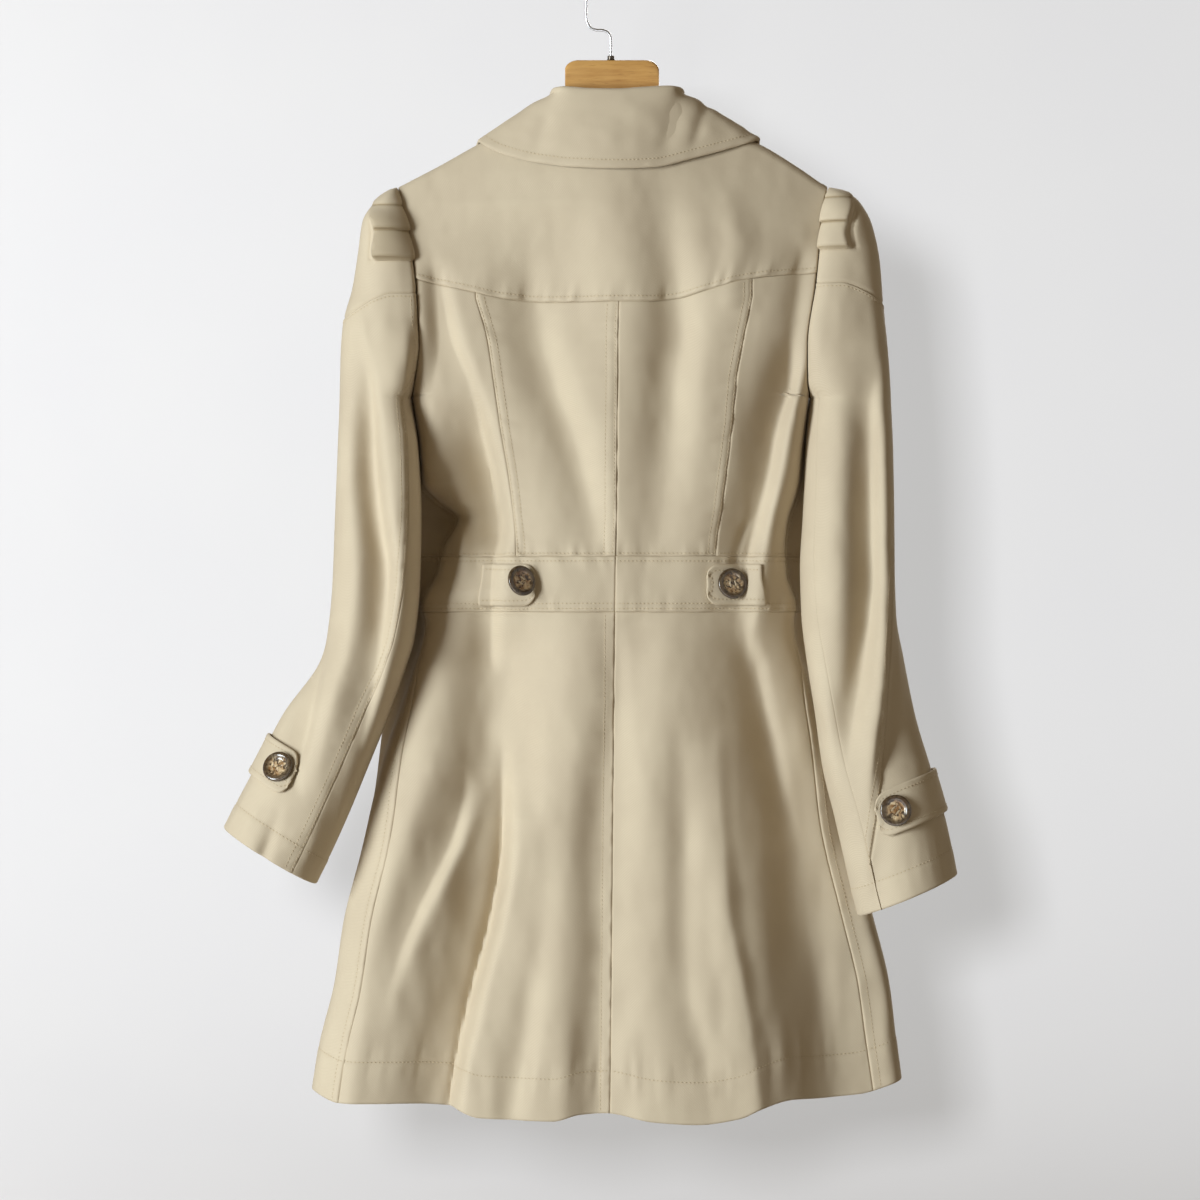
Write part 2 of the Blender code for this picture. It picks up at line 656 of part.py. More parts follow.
def seam_line(side, column, sign):
    """A sleeve's long seam, or the armhole where that comes first."""

    def line(z):
        return sign * np.minimum(np.radians(SLEEVES[side].at(column, z)), sleeve_ring(side, z)[4])

    return line


def armhole_line(side, sign):
    return lambda z: sign * sleeve_ring(side, z)[4]


def under_top(side):
    """Height of the armhole seam at an angle round the sleeve; the top of the under sleeve."""
    heights = np.linspace(UNDERARM_Z, -300.0, 400)
    angles = sleeve_ring(side, heights)[4]
    angles[0] = math.pi
    angles = np.minimum.accumulate(angles)

    def line(angle, x):
        folded = np.minimum(np.abs(angle), 2 * math.pi - np.abs(angle))
        return np.interp(folded, angles[::-1], heights[::-1]) - UNDERARM_EASE

    return line


def junction(side):
    """Height at which the under sleeve starts beside the upper one, from the front seam to the back one."""
    top = under_top(side)
    table = SLEEVES[side]
    ends = [float(top(math.radians(table.at(name, -345.0)), 0)) for name in ("front_seam", "back_seam")]
    reach = [math.radians(float(table.at(name, -345.0))) for name in ("front_seam", "back_seam")]
    return lambda angle, x: np.interp(angle, [-reach[0], reach[1]], ends)


# ---------------------------------------------------------------- meshes
def material(name, colour, roughness, metallic=0.0):
    made = bpy.data.materials.new(name)
    made.use_nodes = True
    shader = made.node_tree.nodes["Principled BSDF"]
    shader.inputs["Base Color"].default_value = colour
    shader.inputs["Roughness"].default_value = roughness
    shader.inputs["Metallic"].default_value = metallic
    return made


def add(name, vertices, faces, finish):
    """A named mesh object from points in millimetres, with its own material."""
    mesh = bpy.data.meshes.new(name)
    mesh.from_pydata([tuple(MM * c for c in v) for v in vertices], [], faces)
    work = bmesh.new()
    work.from_mesh(mesh)
    bmesh.ops.recalc_face_normals(work, faces=work.faces)
    work.to_mesh(mesh)
    work.free()
    mesh.shade_smooth()
    mesh.set_sharp_from_angle(angle=math.radians(40))
    mesh.materials.append(material(name, *finish))
    made = bpy.data.objects.new(name, mesh)
    bpy.context.scene.collection.objects.link(made)
    return made


CLOTH_FINISH = (LINEN, 0.85)


def shell(name, outer, inner, finish=CLOTH_FINISH):
    """A closed wall from two grids of points of the same size."""
    columns, rows = outer.shape[:2]
    vertices = np.concatenate([outer.reshape(-1, 3), inner.reshape(-1, 3)]).tolist()
    far = columns * rows

    def at(i, j):
        return i * rows + j

    faces = []
    for i in range(columns - 1):
        for j in range(rows - 1):
            for loop in (
                (at(i, j), at(i + 1, j), at(i + 1, j + 1)),
                (at(i, j), at(i + 1, j + 1), at(i, j + 1)),
            ):
                faces.append(loop)
                faces.append(tuple(far + k for k in reversed(loop)))
    rim = [at(i, 0) for i in range(columns)] + [at(columns - 1, j) for j in range(1, rows)]
    rim += [at(i, rows - 1) for i in reversed(range(columns - 1))] + [at(0, j) for j in reversed(range(1, rows - 1))]
    for a, b in zip(rim, rim[1:] + rim[:1]):
        faces.append((b, a, far + a, far + b))
    return add(name, vertices, faces, finish)


def stretches(*counts):
    """Grid shares over one stretch or several, from the number of steps in each."""
    marks = [np.linspace(k, k + 1, count, endpoint=False) for k, count in enumerate(counts)]
    return np.concatenate(marks + [[len(counts)]])


def part_of(marks, first, last):
    """The grid shares between two ends, for what lies on a panel."""
    inside = marks[(marks > first + 0.02) & (marks < last - 0.02)]
    return np.concatenate([[first], inside, [last]])


class Grid:
    """Points of a surface with the seam gap taken off all round. Columns run with growing x on the back,
    and rows run down."""

    def __init__(self, surface, columns, rows, gap=SEAM_GAP, step=2e-3):
        self.columns, self.rows = columns, rows
        g, f = np.meshgrid(columns, rows, indexing="ij")
        first, last, top, low = columns[0], columns[-1], rows[0], rows[-1]
        across = surface(np.minimum(g + step, last), f) - surface(np.maximum(g - step, first), f)
        down = surface(g, np.minimum(f + step, low)) - surface(g, np.maximum(f - step, top))
        self.normal = unit(np.cross(down, across))
        self.across, self.down = unit(across), unit(down)
        self.point = self.drawn_in(surface(g, f), 0.5 * gap)

    def drawn_in(self, point, gap):
        """The same points with the edges moved in by gap."""
        point = point.copy()
        point[0] += gap * self.across[0]
        point[-1] -= gap * self.across[-1]
        point[:, 0] += gap * self.down[:, 0]
        point[:, -1] -= gap * self.down[:, -1]
        return point

    def layer(self, height, gap=0.0):
        """The grid moved out by height."""
        return self.drawn_in(self.point + np.asarray(height)[..., None] * self.normal, gap)


def wall(name, surface, columns, rows, relief=None, gap=SEAM_GAP, inner_gap=0.3):
    """A cloth piece: the surface's grid and the same grid moved in by the cloth's thickness."""
    grid = Grid(surface, columns, rows, gap)
    raised = grid.point if relief is None else grid.layer(relief(grid))
    shell(name, raised, grid.layer(-CLOTH, inner_gap))
    return grid


def faceted(grid):
    """The flat facets of a piece as a surface, for what lies on it."""

    def surface(g, f):
        i = np.clip(np.searchsorted(grid.columns, g, side="right") - 1, 0, len(grid.columns) - 2)
        j = np.clip(np.searchsorted(grid.rows, f, side="right") - 1, 0, len(grid.rows) - 2)
        u = ((g - grid.columns[i]) / (grid.columns[i + 1] - grid.columns[i]))[..., None]
        v = ((f - grid.rows[j]) / (grid.rows[j + 1] - grid.rows[j]))[..., None]
        corner, across, opposite, down = (grid.point[i + a, j + b] for a, b in ((0, 0), (1, 0), (1, 1), (0, 1)))
        one = corner + u * (across - corner) + v * (opposite - across)
        other = corner + v * (down - corner) + u * (opposite - down)
        return np.where(u > v, one, other)

    return surface


def laid_on(name, surface, columns, rows, lift=LIFT):
    """A piece that lies on a panel, made from the panel's points moved out."""
    grid = Grid(surface, columns, rows)
    shell(name, grid.layer(lift + TRIM), grid.layer(lift))


def frame_at(surface, g, f, step=0.02):
    """A point of a surface with its directions across and down, and its outward normal."""
    g, f = np.array([g]), np.array([f])
    across = unit(surface(g + step, f) - surface(g - step, f))[0]
    down = unit(surface(g, f + step) - surface(g, f - step))[0]
    normal = unit(np.cross(down, across))
    return surface(g, f)[0], across, np.cross(across, normal), normal


def revolved(name, profile, place, finish, sides, hollow=False):
    """A round piece from (radius, height) pairs, standing at place: its foot, two directions across its
    axis and the axis. A hollow one is a ring; the others are closed at both ends."""
    foot, across, beside, axis = (np.asarray(v, float) for v in place)
    turns = 2 * math.pi * np.arange(sides) / sides
    vertices = [foot + r * (math.cos(t) * across + math.sin(t) * beside) + h * axis for r, h in profile for t in turns]
    count = len(profile)
    faces = []
    for i in range(count if hollow else count - 1):
        j = (i + 1) % count
        for k in range(sides):
            m = (k + 1) % sides
            faces.append((i * sides + k, i * sides + m, j * sides + m, j * sides + k))
    if not hollow:
        faces.append(tuple(range(sides)))
        faces.append(tuple((count - 1) * sides + k for k in range(sides)))
    return add(name, [tuple(v) for v in vertices], faces, finish)


def button(name, surface, g, f, lift=0.0, turn=0.0, reach=0.25):
    """A round button that stands clear of a surface, turned about the vertical by turn degrees."""
    point, across, down, normal = frame_at(surface, g, f)
    if turn:
        spin = Matrix.Rotation(math.radians(turn), 3, "Z")
        across, down, normal = (np.array(spin @ Vector(v)) for v in (across, down, normal))
    near = np.meshgrid(g + np.linspace(-reach, reach, 41), f + np.linspace(-reach, reach, 41))
    offset = surface(*near) - point
    aside = np.hypot(offset @ across, offset @ down)
    stand = (offset @ normal)[aside < (1.0 if turn else 0.75) * BUTTON_RADIUS].max() + lift + LIFT
    foot = point + stand * normal
    profile = [(BUTTON_RADIUS * r, BUTTON_HEIGHT * h) for r, h in BUTTON_PROFILE]
    revolved(name, profile, (foot, across, down, normal), (HORN, 0.25), BUTTON_SIDES)


def rods(sections, faces_round):
    """Faces of a tube through rings of the same number of points, closed at both ends."""
    faces = []
    for i in range(sections - 1):
        for k in range(faces_round):
            m = (k + 1) % faces_round
            a, b = i * faces_round, (i + 1) * faces_round
            faces.append((a + k, a + m, b + m, b + k))
    faces.append(tuple(range(faces_round)))
    faces.append(tuple((sections - 1) * faces_round + k for k in range(faces_round)))
    return faces


# ---------------------------------------------------------------- the pieces
def build_back():
    waist, waist_low, underarm = level(WAIST_TOP), level(WAIST_LOW), level(UNDERARM_Z)
    left, centre, right = (back_line(name) for name in ("left", "centre", "right"))
    side_left, side_right = side_line(-1), side_line(1)
    wall("back_yoke", body_panel((side_left, left, centre, right, side_right), (neck_line, under_turn(neck_line), yoke_seam)),
         stretches(SIDE_STEPS, BACK_STEPS, BACK_STEPS, SIDE_STEPS), stretches(3, 6))
    backs = (
        ("side_back_left", (side_left, left), SIDE_STEPS),
        ("back_left", (left, centre), BACK_STEPS),
        ("back_right", (centre, right), BACK_STEPS),
        ("side_back_right", (right, side_right), SIDE_STEPS),
    )
    for name, lines, steps in backs:
        wall(name, body_panel(lines, (yoke_seam, underarm, waist)), stretches(steps), stretches(4, BODICE_STEPS))
    halves = (
        (-1, "left", (side_left, left, centre), (2 * SIDE_STEPS, 2 * BACK_STEPS)),
        (1, "right", (centre, right, side_right), (2 * BACK_STEPS, 2 * SIDE_STEPS)),
    )
    for side, word, lines, steps in halves:
        columns = stretches(*steps)
        band = faceted(wall(f"waistband_back_{word}", body_panel(lines, (waist, waist_low)), columns, stretches(2)))
        wall(f"skirt_back_{word}", body_panel(lines, (waist_low, hem)), columns, stretches(SKIRT_STEPS))
        build_tab(side, word, band, columns)


def share_at(surface, x, f, first, last):
    """The share across a surface at which it reaches x."""
    for _ in range(40):
        middle = 0.5 * (first + last)
        if surface(np.array([middle]), np.array([f]))[0][0] < x:
            first = middle
        else:
            last = middle
    return middle


def build_tab(side, word, band, columns):
    """The waistband's half belt with one rounded end, and its button."""
    middle = (WAIST_TOP - TAB_Z) / (WAIST_TOP - WAIST_LOW)
    half = 0.5 * TAB_HEIGHT / (WAIST_TOP - WAIST_LOW)
    ends = [share_at(band, x, middle, columns[0], columns[-1]) for x in WAIST_TABS[side]]
    round_end = WAIST_TABS[side][1 if side < 0 else 0]

    def surface(g, f):
        x = band(g, 0 * f + middle)[..., 0]
        short = np.sqrt(1 - 0.88 * np.clip(1 - np.abs(x - round_end) / 13.0, 0, 1) ** 2)
        return band(g, middle + (2 * f - 1) * half * short)

    laid_on(f"waist_tab_{word}", surface, part_of(columns, *ends), stretches(2), lift=TAB_LIFT)
    x, turn = WAIST_BUTTONS[side]
    place = share_at(band, x, middle, columns[0], columns[-1])
    button(f"waist_button_{word}", band, place, middle, TAB_LIFT + TRIM, turn)


def build_fronts():
    waist, waist_low, underarm = level(WAIST_TOP), level(WAIST_LOW), level(UNDERARM_Z)
    across = stretches(FRONT_STEPS)
    for side, word in ((-1, "left"), (1, "right")):
        inset = UNDERLAP_INSET if side < 0 else 0.0
        lines = (front_edge(side), front_side_line(side))[::-side]
        top = roll_line(side)
        wall(f"front_{word}", body_panel(lines, (top, under_turn(top), below(underarm, top), waist), inset),
             across, stretches(3, 5, BODICE_STEPS))
        wall(f"waistband_front_{word}", body_panel(lines, (waist, waist_low), inset), across, stretches(2))
        wall(f"skirt_front_{word}", body_panel(lines, (waist_low, hem), inset), across, stretches(SKIRT_STEPS))
        laid_on(f"lapel_{word}", lapel(side, inset), stretches(6), stretches(12), lift=LAPEL_LIFT)


def lapel(side, inset):
    """A lapel, turned back over its front: across from its outer edge to the line on which it turns, and
    down from the collar to the break."""
    start, tip = (np.array([side * x, z]) for x, z in (LAPEL_START, LAPEL_TIP))
    end = np.array([-side * (OVERLAP - 2.0), BREAK_Z + 2.0])

    def surface(g, f):
        outwards = g if side < 0 else 1 - g
        inner = start + f[..., None] * (end - start)
        outer = tip + f[..., None] * (end - tip)
        outer[..., 1] -= 9.0 * np.sin(math.pi * f)
        width = outwards * (1 - 0.9 * f ** 8)
        x, z = np.moveaxis(inner + width[..., None] * (outer - inner), -1, 0)
        return body(front_position(side, x, z), z, inset)

    return surface


def front_buttons():
    """Three rows of two on the right front."""

    def surface(g, f):
        return body(front_position(1, -g, -f), -f)

    places = [(x, z) for z in FRONT_BUTTON_Z for x in (-FRONT_BUTTON_X, FRONT_BUTTON_X)]
    for number, (x, z) in enumerate(places, start=1):
        button(f"front_button_{number}", surface, -x, -z, lift=0.3, reach=BUTTON_RADIUS)


def build_sleeves():
    for side, word in ((-1, "left"), (1, "right")):
        def seam(angle, x, side=side):
            return cap_seam(side, angle)

        def cuff(angle, x, side=side):
            return cuff_height(side, x)

        def back_seam(z, side=side):
            return np.radians(SLEEVES[side].at("back_seam", z))

        def front_seam_round(z, side=side):
            return 2 * math.pi - np.radians(SLEEVES[side].at("front_seam", z))

        holes = (armhole_line(side, -1), armhole_line(side, 1))[::-side]
        heights = cap_rows(side)
        levels = [level_round(z) for z in heights] + [seam]
        wall(f"sleeve_cap_{word}", sleeve_panel(side, holes, levels), np.array(CAP_COLUMNS),
             stretches(*[1] * (len(heights) - 1), 2), relief=lambda grid, side=side: pleat_relief(side, grid))
        seams = (seam_line(side, "front_seam", -1), seam_line(side, "back_seam", 1))[::-side]
        panel = sleeve_panel(side, seams, (seam, junction(side), cuff))
        upper = wall(f"upper_sleeve_{word}", panel, stretches(SLEEVE_STEPS), stretches(3, ARM_STEPS), gap=SLEEVE_GAP, inner_gap=1.2)
        under = (back_seam, front_seam_round)[::-side]
        wall(f"under_sleeve_{word}", sleeve_panel(side, under, (under_top(side), cuff)),
             stretches(6), stretches(ARM_STEPS), gap=SLEEVE_GAP, inner_gap=1.2)
        build_strap(side, word, upper)


def build_strap(side, word, upper):
    """The strap round a cuff, rounded at its end on the back, and its button."""
    end_x, end_z, slope, *angles = CUFF_STRAPS[side]
    spans = [float(SLEEVES[side].at(name, end_z)) for name in ("front_seam", "back_seam")]
    round_end, far_end = ((angle + spans[0]) / sum(spans) for angle in angles)
    if side > 0:
        round_end, far_end = 1 - round_end, 1 - far_end
    sleeve_facets = faceted(upper)

    def surface(g, f):
        top, low = (sleeve_facets(g, 0 * g + row)[..., 2] for row in (1.0, 2.0))
        short = np.sqrt(1 - 0.88 * np.clip(1 - np.abs(g - round_end) / STRAP_ROUNDING, 0, 1) ** 2)
        half = 0.5 * STRAP_WIDTH * math.hypot(1, slope) * short
        row = 0 * g + 1.7
        for _ in range(8):
            z = end_z + slope * (sleeve_facets(g, row)[..., 0] - end_x) + (1 - 2 * f) * half
            row = 1 + (top - z) / (top - low)
        return sleeve_facets(g, row)

    columns = part_of(upper.columns, min(round_end, far_end), max(round_end, far_end))
    laid_on(f"cuff_strap_{word}", surface, columns, stretches(4), lift=STRAP_LIFT[side])
    place = round_end + math.copysign(CUFF_BUTTON_IN, far_end - round_end) / STRAP_GIRTH
    button(f"cuff_button_{word}", surface, place, 0.5, STRAP_LIFT[side] + TRIM)


def collar(g, f):
    """The collar's visible face: the stand from the neck edge up, the fold and the fall to the outer edge."""
    at = {name: COLLAR.at(name, g) for name in ("neck", "tx", "ty", "tz", "ex", "ez")}
    facing = np.where(np.abs(g - 0.5) < 0.2599, 1, np.where(np.abs(g - 0.5) < 0.2601, 0, -1))
    half = BODY.at("back_l", at["tz"])
    low = np.where(facing < 0, roll_line(-1)(-np.abs(at["neck"])), neck_line(at["neck"]))
    cosine = facing * np.sqrt(1 - (at["neck"] / half) ** 2)
    neck_y = -facing * np.maximum(plain_depth(at["neck"], low, cosine) - CLOTH, 0)
    neck = np.stack([at["neck"], neck_y, low + 1.7], -1)
    cosine = facing * np.sqrt(1 - (at["ex"] / half) ** 2)
    edge_y = -facing * plain_depth(at["ex"], at["ez"], cosine, COLLAR_LIFT)
    edge = np.stack([at["ex"], edge_y, at["ez"]], -1)
    top = np.stack([at["tx"], at["ty"], at["tz"] - COLLAR_ROLL], -1)
    out = (edge - neck) * (1, 1, 0)
    out = COLLAR_ROLL * unit(out)
    up = np.array([0, 0, COLLAR_ROLL])
    turn = math.pi * np.clip(f - 1, 0, 1)[..., None]
    rolled = top - np.cos(turn) * out + np.sin(turn) * up
    stand = neck + f[..., None] * (top - out - neck)
    share = np.clip(f - 2, 0, 1)[..., None]
    bulge = 4 * share * (1 - share)
    fall = top + out + share * (edge - top - out) + bulge * (0.3 * out + 0.4 * up)
    # the fall stays clear of the coat
    x, y, z = np.moveaxis(fall, -1, 0)
    clear = plain_depth(x, z, facing * np.sqrt(1 - (x / half) ** 2), COLLAR_LIFT)
    y = np.where(facing > 0, np.minimum(y, -clear), np.where(facing < 0, np.maximum(y, clear), y))
    fall = np.stack([x, y, z], -1)
    f = f[..., None]
    return np.where(f < 1, stand, np.where(f < 2, rolled, fall))


def build_collar():
    half = np.array(COLLAR_COLUMNS)
    columns = np.concatenate([half, 1 - half[-2::-1]])
    grid = Grid(collar, columns, np.array([0, 1, 1.33, 1.67, 2, 2.25, 2.5, 2.75, 3]))
    shell("collar", grid.layer(0.0), grid.layer(-TRIM))


def build_hanger():
    """The wood, lofted along x: the arms under the shoulders and the higher neck between them."""
    reach = HANGER_REACH
    arm = np.concatenate([np.linspace(-reach, -HANGER_NECK_HALF - 0.2, 12), np.linspace(HANGER_NECK_HALF + 0.2, reach, 12)])
    neck = HANGER_NECK_HALF * np.array([-1, -0.97, -0.88, -0.4, 0, 0.4, 0.88, 0.97, 1])
    vertices = []
    for x in sorted([*arm, *neck]):
        away = (abs(x) - HANGER_NECK_HALF) / (reach - HANGER_NECK_HALF)
        top = float(SHOULDERS.at("z", x)) - HANGER_CLEAR - 4.5 * max(0.0, 1 - away / 0.2)
        low = top - np.interp(away, [0, 1], HANGER_ARM_HEIGHTS)
        if away <= 0:
            low = float(SHOULDERS.at("z", HANGER_NECK_HALF)) - HANGER_CLEAR - HANGER_ARM_HEIGHTS[0]
            top = HANGER_TOP - 5.0 * (1 - math.sqrt(1 - max(0.0, (abs(x) - 32.0) / 9.5) ** 2))
        r = HANGER_HALF_THICKNESS * (0.8 if away > 0.97 or 0 < away < 0.2 else 1)
        section = [(-r, top - r), (-0.71 * r, top - 0.29 * r), (0, top), (0.71 * r, top - 0.29 * r), (r, top - r)]
        section += [(r, low + 3), (0.6 * r, low), (-0.6 * r, low), (-r, low + 3)]
        vertices += [(x, y, z) for y, z in section]
    add("hanger", vertices, rods(len(vertices) // 9, 9), (WOOD, 0.35))


def build_hook():
    """The bent wire, and the small ferrule where it enters the wood."""
    turns = np.radians(np.linspace(HOOK_TIP_ANGLE, 180, 17))
    path = [(HOOK_RADIUS * math.cos(t), HOOK_CENTRE_Z + HOOK_RADIUS * math.sin(t)) for t in turns]
    path = np.array(path + list(HOOK_PATH))
    along = unit(np.gradient(path, axis=0))
    vertices = []
    for (x, z), (dx, dz) in zip(path, along):
        for k in range(8):
            turn = 2 * math.pi * k / 8
            side, out = 0.5 * WIRE * math.cos(turn), 0.5 * WIRE * math.sin(turn)
            vertices.append((x - dz * out, side, z + dx * out))
    add("hook", vertices, rods(len(path), 8), (STEEL, 0.25, 1.0))
    inner, outer, height = FERRULE
    stem = HOOK_PATH[-1][0]
    place = ((stem, 0, HANGER_TOP + SEAM_GAP), (1, 0, 0), (0, 1, 0), (0, 0, 1))
    revolved("hook_collar", [(inner, 0), (outer, 0), (outer, height), (inner, height)], place,
             (HORN, 0.3, 1.0), 12, hollow=True)


def build_all():
    for old in list(bpy.data.objects):
        bpy.data.objects.remove(old, do_unlink=True)
    build_back()
    build_fronts()
    front_buttons()
    build_sleeves()
    build_collar()
    build_hanger()
    build_hook()


build_all()
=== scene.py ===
"""The looks of a knee-length trench coat on a wooden hanger.

Frame: +Z up, origin at the inside top of the hanger's hook; the coat's back faces -Y. The coat's surfaces are
worked out in millimetres, as in the part's own source, and put into meshes in metres. Every cloth piece is a
fine shell on its solid's form, with its folds, rolled seam edges, puckers and rows of stitches.
"""

import math

import bpy
import numpy as np
from mathutils import Matrix, Vector


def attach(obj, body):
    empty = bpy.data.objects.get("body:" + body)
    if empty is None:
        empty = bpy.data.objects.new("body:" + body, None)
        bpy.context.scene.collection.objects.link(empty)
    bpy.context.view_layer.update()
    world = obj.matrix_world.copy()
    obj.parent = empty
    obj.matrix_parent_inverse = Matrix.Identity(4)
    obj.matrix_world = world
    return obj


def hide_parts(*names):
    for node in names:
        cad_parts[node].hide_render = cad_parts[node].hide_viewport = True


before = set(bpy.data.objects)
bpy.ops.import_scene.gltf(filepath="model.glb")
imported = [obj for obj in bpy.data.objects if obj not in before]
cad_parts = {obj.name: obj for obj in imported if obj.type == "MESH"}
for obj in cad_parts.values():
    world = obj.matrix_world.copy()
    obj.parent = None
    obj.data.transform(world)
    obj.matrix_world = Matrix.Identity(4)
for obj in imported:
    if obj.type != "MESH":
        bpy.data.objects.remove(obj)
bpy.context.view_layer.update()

MM = 0.001
FINE = 1.0
CLOTH = 1.3  # thickness of the cloth
TRIM = 1.9  # thickness of tabs, straps and lapels, which are sewn double
SEAM_GAP = -0.1  # neighbours just meet in the groove of a seam
SLEEVE_GAP = 0.0
TAB_LIFT, LAPEL_LIFT, COLLAR_LIFT = 0.8, 1.5, 4.4
STRAP_LIFT = {-1: 1.7, 1: 2.05}

# ---------------------------------------------------------------- driving heights and widths
NECK_HALF = 62.0  # centre to the shoulder's neck end
NECK_Z = -125.0  # height there
NECK_DIP = 7.0  # how much lower the neck edge is at the centre back
UNDERARM_Z = -375.0
WAIST_TOP = -513.9
WAIST_LOW = -562.0
SHOULDER_RADIUS = 8.0  # the cloth's rounding over the hanger's arms
FILL_HEIGHT = 160.0  # below the shoulder line, over which the body reaches its full depth
UNDERARM_EASE = 0.2  # how much lower the under sleeve starts than the armhole
SQUARENESS = 0.55  # of the body's rings: 1 is an ellipse, less is squarer
OVERLAP = 70.0  # how far each front goes past the centre
UNDERLAP_INSET = 6.6  # how far the under front lies behind the upper one
BREAK_Z = -385.0  # where the lapels start to turn back
SIDE, CENTRE_FRONT = 1.0, 2.0  # positions round a ring; the centre back is 0
WORD = {-1: "left", 1: "right"}


class Table:
    """Rows of named columns. at() reads a column along a smooth curve that never overshoots its rows."""

    def __init__(self, columns, *rows):
        data = np.array(sorted(rows), float)
        self.key = data[:, 0]
        self.columns = {name: data[:, i] for i, name in enumerate(columns.split())}

    def at(self, column, key):
        x, y = self.key, self.columns[column]
        step = np.diff(x)
        rise = np.diff(y) / step
        slope = np.concatenate([[rise[0]], np.zeros(len(x) - 2), [rise[-1]]])
        same_way = rise[:-1] * rise[1:] > 0
        mean = 2 * rise[:-1] * rise[1:] / np.where(same_way, rise[:-1] + rise[1:], 1.0)
        slope[1:-1] = np.where(same_way, mean, 0.0)
        key = np.clip(key, x[0], x[-1])
        i = np.clip(np.searchsorted(x, key, side="right") - 1, 0, len(x) - 2)
        t = (key - x[i]) / step[i]
        near = (1 + 2 * t) * (1 - t) ** 2 * y[i] + t * (1 - t) ** 2 * step[i] * slope[i]
        far = t * t * (3 - 2 * t) * y[i + 1] - t * t * (1 - t) * step[i] * slope[i + 1]
        return near + far


# The body's rings. Half-widths from the centre to the back's edge and the front's edge on each side,
# and the depths of the back and of the front.
BODY = Table(
    "z      back_l back_r front_l front_r back front",
    (-60,   215,   217,   215,    217,    44,  46),
    (-191,  215,   217,   215,    217,    45,  48),
    (-255,  208,   212,   208,    212,    47,  52),
    (-300,  194,   198,   194,    198,    49,  56),
    (-340,  180,   180,   180,    180,    51,  58),
    (-375,  174,   172,   174,    172,    52,  59),
    (-410,  168,   167,   170,    169,    53,  59),
    (-449,  164,   163,   168,    167,    53,  58),
    (-466,  150,   158,   167,    165,    53,  57),
    (-480,  134,   153,   166,    164,    53,  57),
    (-504,  146,   150,   166,    164,    52,  56),
    (-530,  153,   152,   167,    164,    52,  56),
    (-557,  166,   161,   168,    165,    53,  57),
    (-572,  163,   159,   166,    163,    54,  58),
    (-620,  176,   172,   178,    174,    58,  61),
    (-700,  202,   196,   202,    196,    64,  66),
    (-772,  219,   213,   219,    213,    69,  70),
    (-831,  234,   229,   234,    229,    73,  73),
    (-885,  242,   242,   242,    242,    76,  76),
    (-934,  254,   248,   254,    248,    79,  79),
    (-995,  264,   256,   264,    256,    82,  82),
)

# The top line of the shoulders, carried on over the neck, where the collar covers it.
SHOULDERS = Table(
    "x      z",
    (-215,  -206),
    (-187,  -191.3),
    (-150,  -172),
    (-119,  -154.6),
    (-62,   -125),
    (0,     -100),
    (62,    -125),
    (131,   -154.5),
    (164,   -174.6),
    (188.5, -191.3),
    (217,   -207),
)

# Where the sleeves are sewn in: distance from the centre on each side.
ARMHOLES = Table(
    "z      left   right",
    (-375,  174,   172),
    (-362,  171.5, 170),
    (-330,  167.5, 169.5),
    (-280,  169.6, 176),
    (-254,  173,   179),
    (-230,  177.3, 181.5),
    (-207,  183.4, 184.5),
    (-191.3, 187,  188.5),
)

# The seam lines of the back: the centre seam and the two princess seams.
BACK_SEAMS = Table(
    "z      centre left  right",
    (-290,  6,     -118, 121),
    (-325,  5,     -108, 114),
    (-358,  5,     -103, 108),
    (-400,  4.5,   -97,  104),
    (-465,  4,     -87,  96),
    (-514,  3,     -83,  90),
    (-990,  -2,    -83,  90),
)
# The hem, which waves with the folds.
HEM = Table(
    "x z",
    (-259, -977), (-237, -984), (-181, -985), (-139, -988), (-114, -995), (-51, -997), (-28, -992),
    (-5, -991), (37, -998), (74, -1000), (109, -995), (128, -987), (156, -981), (179, -982), (214, -980),
    (251, -969),
)
# How far round the rings the side seams lie.
SIDE_SEAM = Table(
    "z      left  right",
    (-375,  1.0,  1.0),
    (-470,  1.0,  1.0),
    (-562,  0.93, 0.93),
    (-650,  0.83, 0.82),
    (-760,  0.775, 0.76),
    (-990,  0.785, 0.78),
)
YOKE_SEAM = Table(
    "x      z",
    (-172,  -273),
    (-128,  -283),
    (-89,   -291),
    (-49,   -293.7),
    (30,    -293.6),
    (56,    -291),
    (82,    -284),
    (112,   -275.5),
    (148,   -270.5),
    (178,   -268),
)

